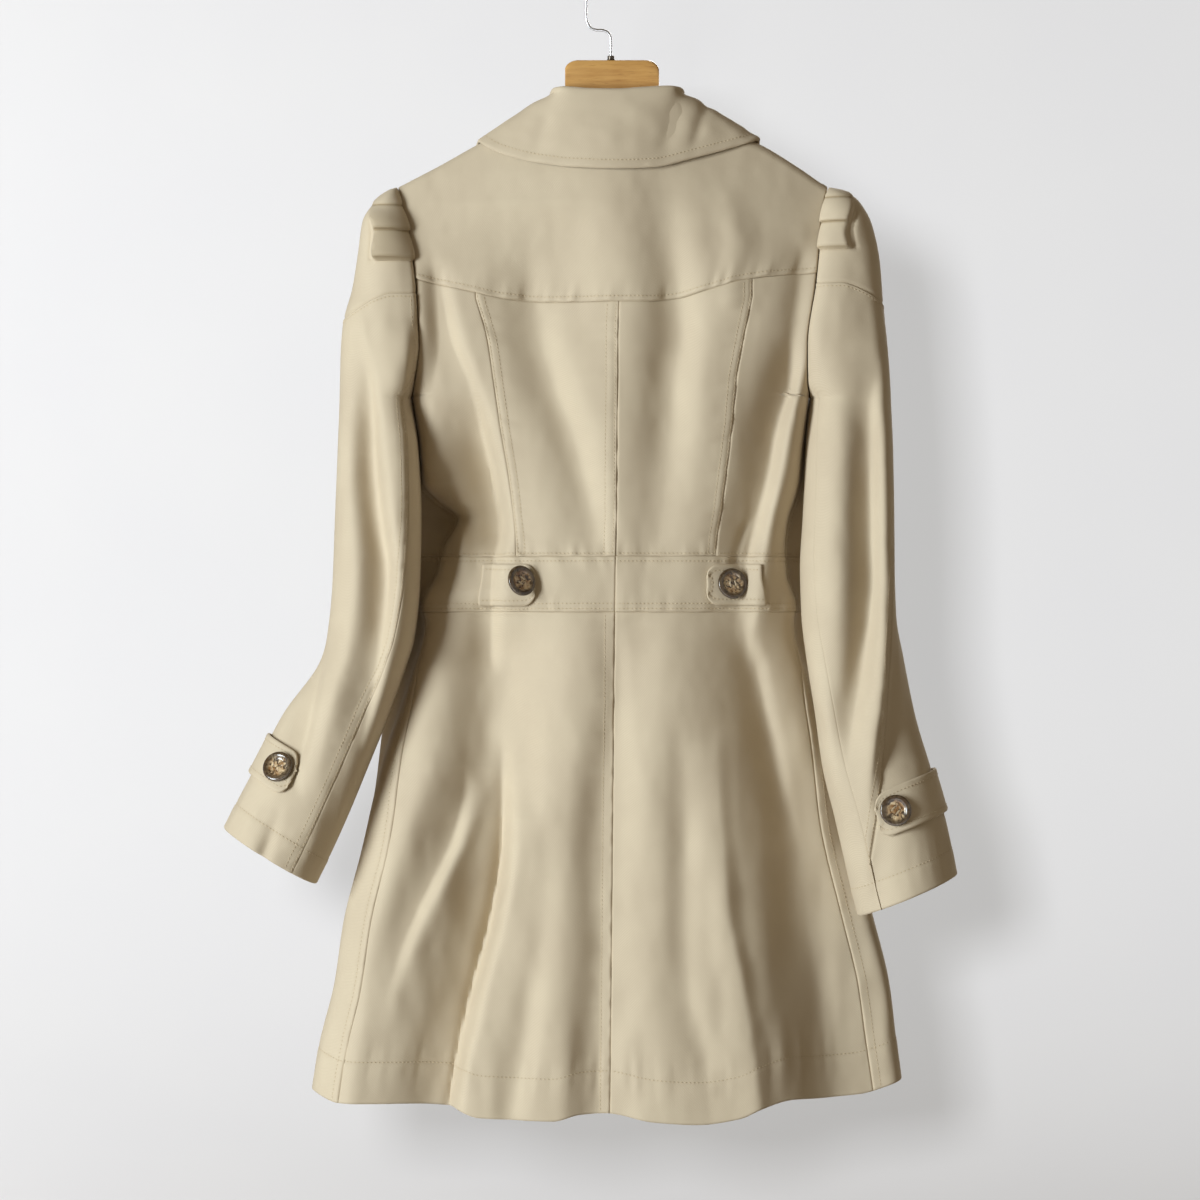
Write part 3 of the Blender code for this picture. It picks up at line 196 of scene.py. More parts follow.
# Sleeve rings: distances from the centre to the outer and the inner edge, how far the ring's middle
# stands behind the shoulder line (towards the back), and its half depth towards the back and the front.
# back_seam and front_seam are degrees round from the outer edge.
SLEEVE_COLUMNS = "z outer inner middle back front back_seam front_seam"
SLEEVES = {
    -1: Table(
        SLEEVE_COLUMNS,
        (-191.3, 187.5, 187, 0,  0.5, 0.5, 144, 130),
        (-195,  196,   187,  0,  12,  12,  144, 130),
        (-205,  208,   187,  0,  20,  21,  144, 130),
        (-221,  218,   187,  0,  26,  28,  144, 130),
        (-249,  222,   187,  0,  31,  34,  144, 130),
        (-280,  227,   187,  0,  36,  40,  144, 130),
        (-306,  234,   187,  0,  39,  43,  144, 130),
        (-335,  237,   176,  0,  41,  44,  144, 130),
        (-375,  238,   174.4, 0, 42,  44,  143, 128),
        (-421,  239,   168.5, 10, 42,  42,  142, 126),
        (-480,  241,   166,  16, 42,  40,  140, 125),
        (-540,  243,   167,  20, 42,  40,  134, 124),
        (-587,  248,   172,  23, 42,  40,  127, 122),
        (-604,  253,   177,  24, 42,  40,  125, 120),
        (-650,  285,   193,  26, 43,  40,  125, 120),
        (-690,  306,   209,  28, 44,  41,  125, 120),
        (-748,  336,   233,  30, 45,  42,  124, 120),
        (-830,  377,   272,  31, 45,  42,  122, 120),
    ),
    1: Table(
        SLEEVE_COLUMNS,
        (-191.3, 189,  188.5, 0, 0.5, 0.5, 144, 130),
        (-196,  206,   188,  0,  12,  12,  144, 130),
        (-205,  217,   188,  0,  20,  21,  144, 130),
        (-225,  227.5, 188,  0,  27,  29,  144, 130),
        (-258,  234,   188,  0,  33,  36,  144, 130),
        (-293,  236.5, 188,  0,  38,  42,  144, 130),
        (-339,  241,   176,  0,  41,  44,  144, 130),
        (-375,  243,   172.4, 0, 42,  44,  143, 128),
        (-421,  244,   168.5, 12, 42,  42,  142, 126),
        (-482,  244.5, 165.5, 20, 42,  40,  140, 125),
        (-525,  244.5, 163,  25, 42,  40,  138, 124),
        (-565,  245.5, 164,  30, 42,  40,  135, 122),
        (-602,  252,   168,  36, 42,  38,  132, 120),
        (-650,  261,   175,  46, 43,  36,  130, 120),
        (-695,  274,   181,  50, 44,  36,  128, 120),
        (-737,  286,   191,  52, 45,  36,  126, 120),
        (-785,  296,   202,  54, 45,  36,  125, 120),
        (-840,  309,   216,  55, 45,  36,  125, 120),
    ),
}
JUNCTION_Z = -345.0  # where the under sleeve starts beside the upper one
CAP_SEAM = {-1: (-286.0, 21.0), 1: (-277.0, 17.0)}  # height at the armhole, drop towards the outer edge
CUFF = {-1: (-337.0, -748.0, -0.61), 1: (297.0, -787.0, 0.42)}  # outer end's x and z, slope of the edge

# Soft troughs in the cloth. Each has its half-widths to the left and to the right, then points x, z, depth down
# its line. Depth is how far the cloth is pushed in there; a minus sign makes a ridge.
BACK_FOLDS = (
    # armpit to waistband on the left: the side falls behind it
    (32, 8, (-149.5, -281.5, 6), (-141, -324.5, 9), (-125.5, -363, 8), (-114, -406, 22), (-105, -449, 31),
     (-99, -491.5, 30), (-103, -517.5, 17), (-105, -551.5, 11), (-106.5, -594.5, 5)),
    # the side, in the sleeve's shade
    (22, 20, (-151, -449, 8), (-147.5, -483, 20), (-149.5, -517.5, 15), (-153, -551.5, 7), (-156.5, -586, 2)),
    # the full cloth beside it
    (34, 38, (-105, -371.5, 2), (-101.5, -406, 5), (-96, -449, 7), (-91, -491.5, 7), (-89.5, -530.5, 3)),
    # small light fold at the side
    (6, 6, (-135, -474.5, -2), (-131.5, -496, -4), (-129, -514, -2)),
    # over the left shoulder blade
    (23, 16, (-72, -269, 4), (-65.5, -320, 8), (-53.5, -363, 10), (-37, -406, 12), (-26, -449, 11),
     (-17.5, -491.5, 8)),
    # broad hollow left of the centre
    (82, 46, (-54, -205.5, 3), (-54, -243, 15), (-53.5, -294.5, 17), (-51.5, -337.5, 11), (-50, -380, 6),
     (-48, -423, 3), (-45, -466, 1)),
    # beside the centre seam, from the yoke down
    (24, 18, (44.5, -200, 3), (47, -234.5, 8), (54.5, -281.5, 13), (56.5, -320, 15), (51, -363, 14),
     (48, -406, 12), (43.5, -449, 8), (39, -491.5, 5), (32.5, -517.5, 2)),
    # small swell of the yoke
    (12, 14, (101, -208.5, -2), (108, -243, -4), (106, -286, -3)),
    # armpit to waistband on the right
    (24, 9, (180, -262, 6), (175.5, -311.5, 13), (156, -359, 17), (141.5, -401.5, 17), (133.5, -444.5, 14),
     (122.5, -483, 12), (114.5, -514, 9), (108, -551.5, 4)),
    # proud edge beside it
    (7, 12, (171.5, -346, -2), (157.5, -389, -5), (149, -431.5, -6), (140.5, -474.5, -7), (133.5, -514, -6),
     (128.5, -551.5, -5), (123.5, -586, -2)),
    # small creases above the right half belt
    (4, 5, (120, -479, 1), (113, -493.5, 3), (108, -510.5, 2)),
    # small creases above the right half belt
    (5, 4, (128.5, -483, 1), (122.5, -497, 2), (118, -511.5, 2)),
    # skirt: the deepest valley
    (37, 90, (111.5, -570.5, 5), (122.5, -603, 11), (135.5, -654.5, 18), (150, -706, 24), (162.5, -766, 28),
     (170.5, -826, 31), (180.5, -886, 33), (189.5, -946, 33), (192.5, -989, 32)),
    # its start is narrow
    (15, 9, (111.5, -577.5, 3), (123.5, -611.5, 6), (132, -654.5, 7), (140.5, -697.5, 5), (150.5, -740.5, 2)),
    # its near edge
    (20, 9, (89, -689, -2), (94, -766, -4), (99, -826, -5), (111.5, -886, -6), (120, -946, -6),
     (125, -989, -5)),
    # the ridge on its far side
    (16, 20, (166, -654.5, -0.5), (178, -706, -1), (188.5, -766, -1), (195.5, -826, -1), (204, -886, -1)),
    # right of the centre it turns away below the waistband
    (16, 60, (13.5, -570.5, -3), (17, -603, -7), (22, -654.5, -6), (25.5, -706, -2)),
    # shallow valley right of the centre seam
    (15, 11, (58, -671.5, 1), (60, -714.5, 3), (61.5, -766, 4), (61.5, -826, 4), (63, -886, 4),
     (78.5, -946, 3)),
    # valley beside the centre seam
    (21, 30, (12, -577.5, 7), (10, -607.5, 11), (6, -654.5, 12), (-2, -706, 13), (-5.5, -766, 14),
     (-7, -826, 14), (-9, -886, 13), (-10.5, -946, 12), (-12, -989, 11)),
    # small valley in the light panel
    (13, 11, (-56, -766, 1), (-61, -826, 2.5), (-69, -886, 4), (-79, -946, 5), (-86, -989, 5)),
    # below the left half belt it falls in
    (36, 44, (-101.5, -570.5, 15), (-101.5, -603, 28), (-102, -654.5, 30), (-103, -706, 21),
     (-108, -740.5, 6)),
    # shade above the slanting fold
    (28, 8, (-129, -719, 4), (-139, -757.5, 9), (-168.5, -819, 9), (-185.5, -860.5, 5), (-195.5, -894.5, 2)),
    # the slanting light fold
    (10, 9, (-105, -701.5, -1), (-118.5, -736, -2), (-130.5, -766, -2.5), (-142.5, -793.5, -2),
     (-154.5, -826, -1.2), (-168.5, -857, -0.6)),
    # the dark wedge
    (42, 8, (-97, -695.5, 6), (-96, -723, 16), (-97, -766, 30), (-106.5, -826, 38), (-122, -886, 36),
     (-135.5, -946, 33), (-142.5, -989, 31)),
    # its sharp edge
    (5, 30, (-89.5, -714.5, -1), (-91, -766, -1.5), (-99, -826, -2), (-113.5, -882, -2),
     (-125.5, -937.5, -2), (-132.5, -989, -2)),
    # the light panel beside it
    (10, 60, (-87.5, -689, 4), (-90, -766, 10), (-99, -826, 12), (-112.5, -882, 12), (-124.5, -937.5, 10),
     (-131.5, -989, 9)),
    # the full cloth at the left side
    (16, 20, (-158, -697.5, -3), (-183.5, -762, -6), (-199, -822, -6), (-214.5, -882, -7), (-223, -946, -7),
     (-228.5, -989, -7)),
    # the full cloth at the right side
    (20, 8, (217.5, -774.5, -5), (233, -826, -12), (246, -886, -15), (254.5, -946, -15), (258.5, -989, -15)),
)
LEFT_SLEEVE_FOLDS = (
    # down the middle of the arm
    (16, 7, (-213, -333, 2), (-209.5, -367.5, 9), (-207, -406, 17), (-204.5, -449, 21), (-199, -491.5, 21),
     (-194, -530.5, 20), (-196.5, -564.5, 17), (-201.5, -599, 12), (-208.5, -637.5, 8), (-216.5, -671.5, 4)),
    # fine light crease below the head
    (4, 5, (-219, -305, -1), (-211, -333, -2), (-204.5, -367.5, -2.5), (-200, -414.5, -1.5)),
    # outer ridge
    (10, 12, (-225, -449, -1), (-221.5, -517.5, -2), (-225, -569, -4), (-232.5, -607.5, -5),
     (-241, -646, -5), (-248, -680.5, -4), (-254, -706, -2)),
    # elbow: the lower arm falls behind
    (24, 5, (-249, -599, 5), (-255, -624.5, 12), (-260, -650.5, 15), (-265, -676, 12), (-271, -695.5, 5)),
    # full edge beside the seam
    (30, 6, (-170, -333, -6), (-165, -367.5, -15), (-162.5, -406, -23), (-162.5, -449, -26),
     (-163, -491.5, -26), (-165.5, -534.5, -24), (-170, -569, -20), (-177.5, -611.5, -18),
     (-186.5, -637.5, -18), (-199, -671.5, -18), (-213, -706, -17), (-226.5, -740.5, -15),
     (-240.5, -774.5, -12)),
    # crease at the cuff
    (6, 6, (-286.5, -736, 1), (-293.5, -757.5, 3.5), (-303.5, -781.5, 4)),
    # inside of the bend
    (9, 9, (-229, -697.5, 1), (-235, -723, 3), (-245.5, -757.5, 3.5), (-254, -783, 3)),
)
RIGHT_SLEEVE_FOLDS = (
    # down the middle of the arm
    (16, 8, (226, -356, 3), (222, -384.5, 8), (222, -406, 12), (222, -449, 16), (222, -491.5, 17),
     (222, -530.5, 18), (220, -567, 18), (215, -603, 17), (208, -637.5, 14), (201.5, -669, 8),
     (197, -693, 2)),
    # soft swell left of it
    (18, 10, (193.5, -397.5, -1), (195.5, -466, -1.5), (193.5, -526, -1.5), (190, -569, -1)),
    # flat towards the outer seam
    (20, 6, (240, -251.5, -5), (242.5, -311.5, -11), (244, -363, -16), (245, -406, -18), (246, -449, -19),
     (246, -491.5, -19), (246, -534.5, -18), (245, -569, -16), (245, -603, -12), (246.5, -637.5, -6)),
    # ridge beside the seam
    (9, 5, (233, -569, -3), (229.5, -620.5, -5), (222.5, -671.5, -5), (217.5, -714.5, -3)),
    # the inner edge at the bend stands up
    (10, 16, (166, -586, -3), (171.5, -629, -8), (180, -663, -10), (186.5, -706, -10), (193.5, -736, -4)),
    # elbow: the outer side falls behind
    (5, 30, (245, -590.5, 3), (240.5, -620.5, 6), (238, -650.5, 8), (235.5, -676, 8), (232, -699, 4)),
    # edge below the strap
    (9, 14, (228, -736, 1), (226, -757.5, 3), (225.5, -792, 3.5), (224.5, -817.5, 3)),
)
FRONT_FOLDS = (
    (18, 14, (-120, -600, 2), (-140, -760, 12), (-160, -970, 16)),
    (12, 20, (118, -590, 2), (138, -770, 13), (152, -970, 17)),
    (16, 16, (-86, -640, -1), (-96, -800, -6), (-108, -970, -8)),
    (14, 18, (92, -640, -1), (98, -800, -6), (104, -975, -8)),
    (14, 14, (150, -320, 3), (128, -420, 8), (112, -505, 5)),
    (14, 14, (-148, -320, 3), (-124, -420, 9), (-108, -505, 6)),
    (14, 14, (-200, -760, 2), (-214, -860, 6), (-226, -970, 8)),
    (14, 14, (196, -760, 2), (208, -860, 6), (218, -970, 8)),
)
SLEEVE_HEAD = 3.0  # how far the sleeve stands over the armhole seam
FOLD_FADE = 28.0  # how far past its ends a fold dies away

# The right sleeve's seam near its outer edge.
RIGHT_SEAM = Table("z x", (-810, 214), (-707, 229), (-609, 237), (-556, 240.5), (-500, 243))

# Pleats of the sleeve heads: heights of their lower edges and how far each stands up there.
PLEATS = {-1: ((-208, 1.4), (-231, 3.2), (-256, 3.4)), 1: ((-201, 1.4), (-223, 3.2), (-246, 3.4))}
PLEAT_TOP = -191.3
PLEAT_START = 0.9  # how far below it the sleeve's head starts
PLEAT_REST = 0.6  # how far each stands up at its upper edge
PLEAT_REACH = {-1: 36.0, 1: 30.0}  # from the armhole to their outer ends
PLEAT_TILT = {-1: 6.0, 1: 1.5}  # how far their outer ends stand up
PLEAT_SHADE = {-1: 0.8, 1: 0.0}  # painted shade of the cloth under them; only the left sleeve's pleats, which face away from the light, get it

# The collar, all round from the left front end to the right one: the x of its neck edge, the point on top
# where it folds over, and the x and z of its outer edge, which rests on the coat.
COLLAR = Table(
    "share  neck   tx   ty    tz     ex    ez",
    (0.00,  -42,   -43, 25,   -155,  -97,  -206),
    (0.12,  -55,   -51, 14,   -128,  -117, -188),
    (0.19,  -60.5, -52, 6,    -113,  -121, -168),
    (0.24,  -62,   -51, -1,   -107,  -118, -151),
    (0.29,  -60,   -49, -10,  -105,  -104, -160),
    (0.36,  -46,   -42, -19,  -105,  -72,  -171),
    (0.43,  -22,   -20, -22,  -107,  -32,  -177),
    (0.50,  0,     4,   -23,  -107.5, 4,   -178.5),
    (0.57,  24,    26,  -22,  -106,  36,   -177),
    (0.64,  46,    50,  -19,  -104.5, 72,  -168),
    (0.71,  60,    58,  -10,  -104.5, 108, -157),
    (0.76,  62,    60,  -1,   -106,  129.5, -149),
    (0.81,  60.5,  58,  6,    -112,  128,  -168),
    (0.88,  55,    52,  14,   -127,  119,  -188),
    (1.00,  42,    43,  25,   -155,  97,   -206),
)
COLLAR_DENTS = ((-59, 8, 1.8), (54, 9, 2.4), (78, 5, 1.6))  # soft dents of its fall: x, half-width, depth
COLLAR_ROLL = 4.0  # radius of the fold at its top
LAPEL_START, LAPEL_TIP = (43.0, -170.0), (118.0, -243.0)  # ends of its seam with the collar: x, z

TAB_HEIGHT = 35.0
TAB_Z = -538.5
WAIST_TABS = {-1: (-114.0, -66.0), 1: (81.0, 130.0)}  # from x to x
STRAP_WIDTH = 37.0
TAB_CORNER, STRAP_CORNER = 10.0, 11.0  # radii of their rounded ends
# Cuff straps: x and z of the middle of the rounded end, the slope along the strap, and how many degrees
# round the sleeve its two ends lie (0 is the outer edge, a minus is on the front side)
CUFF_STRAPS = {-1: (-273.0, -704.0, -0.62, 80.0, -108.0), 1: (222.0, -738.0, 0.40, 106.0, -108.0)}

# Rows of stitches: their distances from the edge
EDGE_ROW = 5.2  # of tabs and straps
OPENING_ROW = 7.0  # of the fronts and the lapels
WAIST_ROW = 2.6  # above the waistband
BAND_TOP_ROW, BAND_LOW_ROWS = 4.2, (3.0, 7.5)
PRINCESS_ROWS, CENTRE_ROWS = (1.6, 7.6), (2.6, 10.5)
YOKE_ROW, SKIRT_SEAM_ROW, HEM_ROW = 4.6, 8.5, 36.0
CAP_ROW, SLEEVE_SEAM_ROWS, CUFF_ROW = 3.0, (2.0, 8.0), 24.0
COLLAR_ENDS_ROW, COLLAR_ROW, LAPEL_TOP_ROW = 6.5, 7.6, 6.0
DEEP_ROW = 15.0  # a row farther in than this puckers the cloth beside itself, not beside the edge

BUTTON_RADIUS = 13.5
BUTTON_HEIGHT = 3.6
FRONT_BUTTON_X = 48.0
FRONT_BUTTON_Z = (-413.0, -538.0, -663.0)
WAIST_BUTTONS = {-1: (-86.0, 40.0), 1: (102.0, 0.0)}  # x, and degrees it is turned about the vertical
CUFF_BUTTON_IN = 17.0  # from the strap's rounded end
STRAP_GIRTH = 205.0  # of the upper sleeve there

# The hanger's wood
HANGER_HALF_THICKNESS = 5.3
HANGER_CLEAR = 2.4  # from the top of the arms up to the coat's shoulder line
HANGER_REACH = 178.0
HANGER_NECK_HALF = 41.0
HANGER_TOP = -79.8
HANGER_NECK_FLAT, HANGER_NECK_CORNER = 29.0, 12.3  # of its neck's top: half of the flat part, a corner's width
HANGER_NECK_ROUNDING = 9.0  # how far the corners go down
HANGER_ARM_START = 0.2  # share of an arm in which it gets its full height and thickness
HANGER_ARM_DIP = 4.5  # how much lower it starts
HANGER_ARM_THINNER = 0.82
HANGER_END = 8.0  # how far from its ends the hanger is rounded
HANGER_ARM_HEIGHTS = (27.0, 15.0)  # at the neck and at the ends
HOOK_PATH = (  # x, z of the wire's middle line, after its arc over the top
    (-22.3, -28.0), (-22.6, -38.0), (-21.8, -46.5), (-18.5, -51.8), (-13.5, -53.6),
    (-8.0, -53.8), (-3.6, -55.8), (-1.2, -60.0), (-0.9, -66.0), (-0.9, -79.4),
)
HOOK_RADIUS = 21.5
HOOK_CENTRE_Z = -20.3
HOOK_TIP_ANGLE = -18.0
WIRE = 2.4
FERRULE = (1.6, 3.4, 3.6)  # inner radius, outer radius, height


def ease(t):
    t = np.clip(t, 0.0, 1.0)
    return t * t * (3 - 2 * t)


def bell(offset, width):
    return np.exp(-((offset / width) ** 2))


def unit(v):
    return v / np.maximum(np.linalg.norm(v, axis=-1, keepdims=True), 1e-9)


# ---------------------------------------------------------------- the body's surface
def ring_spacing(width=165.0, depth=55.0, samples=721):
    """Angles and positions round a typical ring, evenly spaced along each quarter of it."""
    angle = np.linspace(0, math.pi, samples)
    across = width * np.sin(angle)
    out = -depth * np.sign(np.cos(angle)) * np.abs(np.cos(angle)) ** SQUARENESS
    length = np.concatenate([[0], np.cumsum(np.hypot(np.diff(across), np.diff(out)))])
    return angle, CENTRE_FRONT * length / length[-1]


RING_ANGLE, RING_POSITION = ring_spacing()


def ring_angle(w):
    """Angle at a position round the ring; past 2 it runs on over the centre front."""
    inside = np.interp(np.minimum(np.abs(w), 2 * CENTRE_FRONT - np.abs(w)), RING_POSITION, RING_ANGLE)
    return np.sign(w) * np.where(np.abs(w) > CENTRE_FRONT, 2 * math.pi - inside, inside)


def ring_position(x, z, front=False):
    """The position round the ring at height z whose point lies at x, on the back or on the front."""
    face = "front" if front else "back"
    half = np.where(x < 0, BODY.at(face + "_l", z), BODY.at(face + "_r", z))
    angle = np.arcsin(np.clip(np.abs(x) / half, 0, 1))
    if front:
        angle = math.pi - angle
    return np.where(x < 0, -1, 1) * np.interp(angle, RING_ANGLE, RING_POSITION)


FULL_AT, FULL_TOP, FULL_LOW = 1.16, -370, -760  # where the cloth stands out: position round the ring, heights
FULLNESS = {"left": 25.0, "right": 23.0}  # how far


def half_width(w, z, sine):
    """Half-width of the ring at position w. Below the underarm the cloth stands out just before the side
    seam."""
    turn = ease((np.abs(w) - SIDE) / 0.25)
    left = (1 - turn) * BODY.at("back_l", z) + turn * BODY.at("front_l", z)
    right = (1 - turn) * BODY.at("back_r", z) + turn * BODY.at("front_r", z)
    full = bell(np.abs(w) - FULL_AT, 0.10) * ease((FULL_TOP - z) / 36.0) * ease((z - FULL_LOW) / 150.0)
    return np.where(sine < 0, left + FULLNESS["left"] * full, right + FULLNESS["right"] * full)


def fold_lines(rows):
    """Each fold's half-widths, and its line as a table over the height."""
    return [
        (left, right, Table("z x depth", *((z, x, depth) for x, z, depth in points)))
        for left, right, *points in rows
    ]


FOLDS = {
    "back": fold_lines(BACK_FOLDS),
    "front": fold_lines(FRONT_FOLDS),
    -1: fold_lines(LEFT_SLEEVE_FOLDS),
    1: fold_lines(RIGHT_SLEEVE_FOLDS),
}


def trough(folds, x, z):
    """How far the folds push the cloth in at (x, z)."""
    total = np.zeros(np.broadcast(x, z).shape)
    for left, right, path in FOLDS[folds]:
        offset = x - path.at("x", z)
        width = np.where(offset < 0, left, right)
        ends = ease((z - path.key[0]) / FOLD_FADE + 1) * ease((path.key[-1] - z) / FOLD_FADE + 1)
        total = total + path.at("depth", z) * ends * bell(offset, width)
    return total


def waver(x, z, size, shift):
    """Soft unevenness of hanging cloth, between -1 and 1; size is how far apart its swells lie across and down."""
    x, z = np.broadcast_arrays(x, z)
    return noise(np.stack([x, 0 * x, z], -1), (size[0], 50.0, size[1]), shift)


def at_armhole(x, z):
    """0 on the armhole seam and 1 away from it, so that folds leave the seam where it is."""
    seam = np.where(x < 0, ARMHOLES.at("left", z), ARMHOLES.at("right", z))
    clear = ease((seam - np.abs(x)) / 18.0)
    below = ease((UNDERARM_Z - z) / 60.0)
    return np.clip(clear + below, 0, 1)


def plain_depth(x, z, cosine, lift=0.0):
    """Depth of the body's surface behind or before the shoulder line, without folds, or of a surface that
    lies over it by lift. cosine is that of the ring angle, more than 0 on the back."""
    drop = SHOULDERS.at("z", x) - z
    radius = SHOULDER_RADIUS + lift
    roll = np.sqrt(np.clip(1 - (1 - np.clip((drop + lift) / radius, 0, 1)) ** 2, 0, 1))
    fill = np.sin(0.5 * math.pi * np.clip(drop / FILL_HEIGHT, 0, 1))
    full = np.where(cosine > 0, BODY.at("back", z), BODY.at("front", z))
    return (radius * roll + (full - SHOULDER_RADIUS) * fill) * np.abs(cosine) ** SQUARENESS


# How much more the cloth wavers, below which height, and over how far it comes to that
LOOSENESS = ((0.5, -150, 60.0), (0.4, -220, 100.0), (1.3, -570, 160.0))


def body(w, z, underlap=0.0):
    """The body's outer surface at position w round the ring and height z. underlap is how far the left
    front lies behind the right one, which closes over it."""
    angle = ring_angle(w)
    sine, cosine = np.sin(angle), np.cos(angle)
    x = half_width(w, z, sine) * sine
    depth = plain_depth(x, z, cosine)
    calm = at_armhole(x, z)
    on_back = 1 - ease((np.abs(w) - SIDE) / 0.3)
    on_front = ease((np.abs(w) - 0.8) / 0.2)
    y = np.where(cosine > 0, -depth, depth)
    y = y + calm * on_back * trough("back", x, z) - calm * on_front * trough("front", x, z)
    loose = sum(more * ease((start - z) / over) for more, start, over in LOOSENESS)
    soft = waver(x, z, (42.0, 130.0), 3.4) + 0.6 * waver(x, z, (17.0, 44.0), 7.3)
    y = y + calm * (loose * soft + 0.3 * waver(x, z, (14.0, 29.0), 5.1) + 0.2 * waver(x, z, (7.5, 13.0), 1.7))
    y = y - underlap * ease((x + OVERLAP + 45) / 35.0) * ease((-165 - z) / 60.0) * on_front
    return np.stack([x, y, z + 0 * x], -1)


def profile_length(drop):
    """Length along the cloth from the shoulder seam, over the hanger's arm and down by drop."""
    turned = SHOULDER_RADIUS * np.arccos(np.clip(1 - drop / SHOULDER_RADIUS, 0, 1))
    return turned + np.maximum(drop - SHOULDER_RADIUS, 0)


def profile_drop(length):
    turn = 0.5 * math.pi * SHOULDER_RADIUS
    turned = SHOULDER_RADIUS * (1 - np.cos(np.clip(length, 0, turn) / SHOULDER_RADIUS))
    return turned + np.maximum(length - turn, 0)


def between(marks, share):
    """Reads a list of values at shares 0, 1, 2 ... and evenly between them."""
    value = marks[0] + 0 * share
    for k in range(len(marks) - 1):
        value = value + np.clip(share - k, 0, 1) * (marks[k + 1] - marks[k])
    return value


def body_panel(lines, levels, underlap=0.0):
    """A panel of the body. lines are positions round the ring, given at each height, and levels are
    heights, given at each x: the panel runs from the first to the last of each."""

    def surface(g, f):
        z = 0 * g + 0.5 * (levels[0](0 * g) + levels[-1](0 * g))
        for _ in range(12):
            w = between([line(z) for line in lines], g)
            sine = np.sin(ring_angle(w))
            x = half_width(w, z, sine) * sine
            shoulder = SHOULDERS.at("z", x)
            lengths = [profile_length(np.maximum(shoulder - height(x), 0)) for height in levels]
            z = shoulder - profile_drop(between(lengths, f))
        return body(w, z, underlap)

    return surface


def level(z):
    return lambda x: z + 0 * x


def hem(x):
    return HEM.at("z", x)


def back_line(column):
    return lambda z: ring_position(BACK_SEAMS.at(column, z), z)


def side_line(side, front=False):
    """The outer edge of the back's panels or of the front's: the armhole, and the side seam below it."""

    def line(z):
        armhole = np.abs(ring_position(side * ARMHOLES.at(WORD[side], z), z, front))
        return side * np.where(z > UNDERARM_Z, armhole, SIDE_SEAM.at(WORD[side], z))

    return line


def front_position(side, x, z):
    """The position round the ring of x on one side's front, which runs on past the centre."""
    position = np.abs(ring_position(x, z, front=True))
    return side * np.where(side * x >= 0, position, 2 * CENTRE_FRONT - position)


def front_edge(side):
    """The closing edge of a front."""
    return lambda z: front_position(side, -side * OVERLAP, z)


def neck_line(x):
    """Where the back's neck edge lies, and the shoulder line outside the neck."""
    dip = NECK_DIP * (1 - (x / NECK_HALF) ** 2)
    return np.where(np.abs(x) < NECK_HALF, NECK_Z - dip, SHOULDERS.at("z", x))


def roll_line(side):
    """The top edge of a front: the shoulder, then the line on which the lapel turns, down to the break."""

    def line(x):
        share = np.clip((NECK_HALF - side * x) / (NECK_HALF + OVERLAP), 0, 1)
        return np.where(side * x > NECK_HALF, SHOULDERS.at("z", x), NECK_Z + (BREAK_Z - NECK_Z) * share)

    return line


def under_turn(edge):
    """Below an edge, and where the cloth has turned down over the shoulder."""
    return lambda x: np.minimum(edge(x) - 4.0, SHOULDERS.at("z", x) - SHOULDER_RADIUS)


def below(line, edge):
    """A height line, kept below an edge."""
    return lambda x: np.minimum(line(x), edge(x) - 16.0)


def yoke_seam(x):
    return YOKE_SEAM.at("z", x)


# ---------------------------------------------------------------- the sleeves' surface
def armhole_point(side, z):
    """Distance of the armhole seam from the centre, and its depth on the back."""
    x = ARMHOLES.at(WORD[side], z)
    angle = np.arcsin(np.clip(x / BODY.at("back_l" if side < 0 else "back_r", z), 0, 1))
    return x, plain_depth(side * x, z, np.cos(angle))


CLOSING = 70.0  # how far below the underarm a sleeve's ring takes to close


def sleeve_ring(side, z):
    """The ring of a sleeve at height z: centre distance, half-width, half depths to the back and the front,
    and the angle at which it meets the armhole, 180 degrees below the underarm."""
    table = SLEEVES[side]
    z = np.asarray(z, float)
    outer, back = table.at("outer", z), table.at("back", z)
    seam, back_at = armhole_point(side, z)
    meet = math.pi - np.arcsin(np.clip(back_at / back, 0, 0.98))
    open_half = (outer - seam) / (1 - np.cos(meet))
    shut_half = 0.5 * (outer - table.at("inner", z))
    above = z > UNDERARM_Z
    half = np.where(above, open_half, shut_half)
    beside = BODY.at("front", z) / BODY.at("back", z)
    share = beside + (table.at("front", z) / back - beside) * ease((UNDERARM_Z - z) / CLOSING)
    return outer - half, half, back, back * share, np.where(above, meet, math.pi)


def armhole_angle(side, z):
    return sleeve_ring(side, z)[-1]


CALM_ANGLE = 0.3  # over which the folds come up beside the armhole


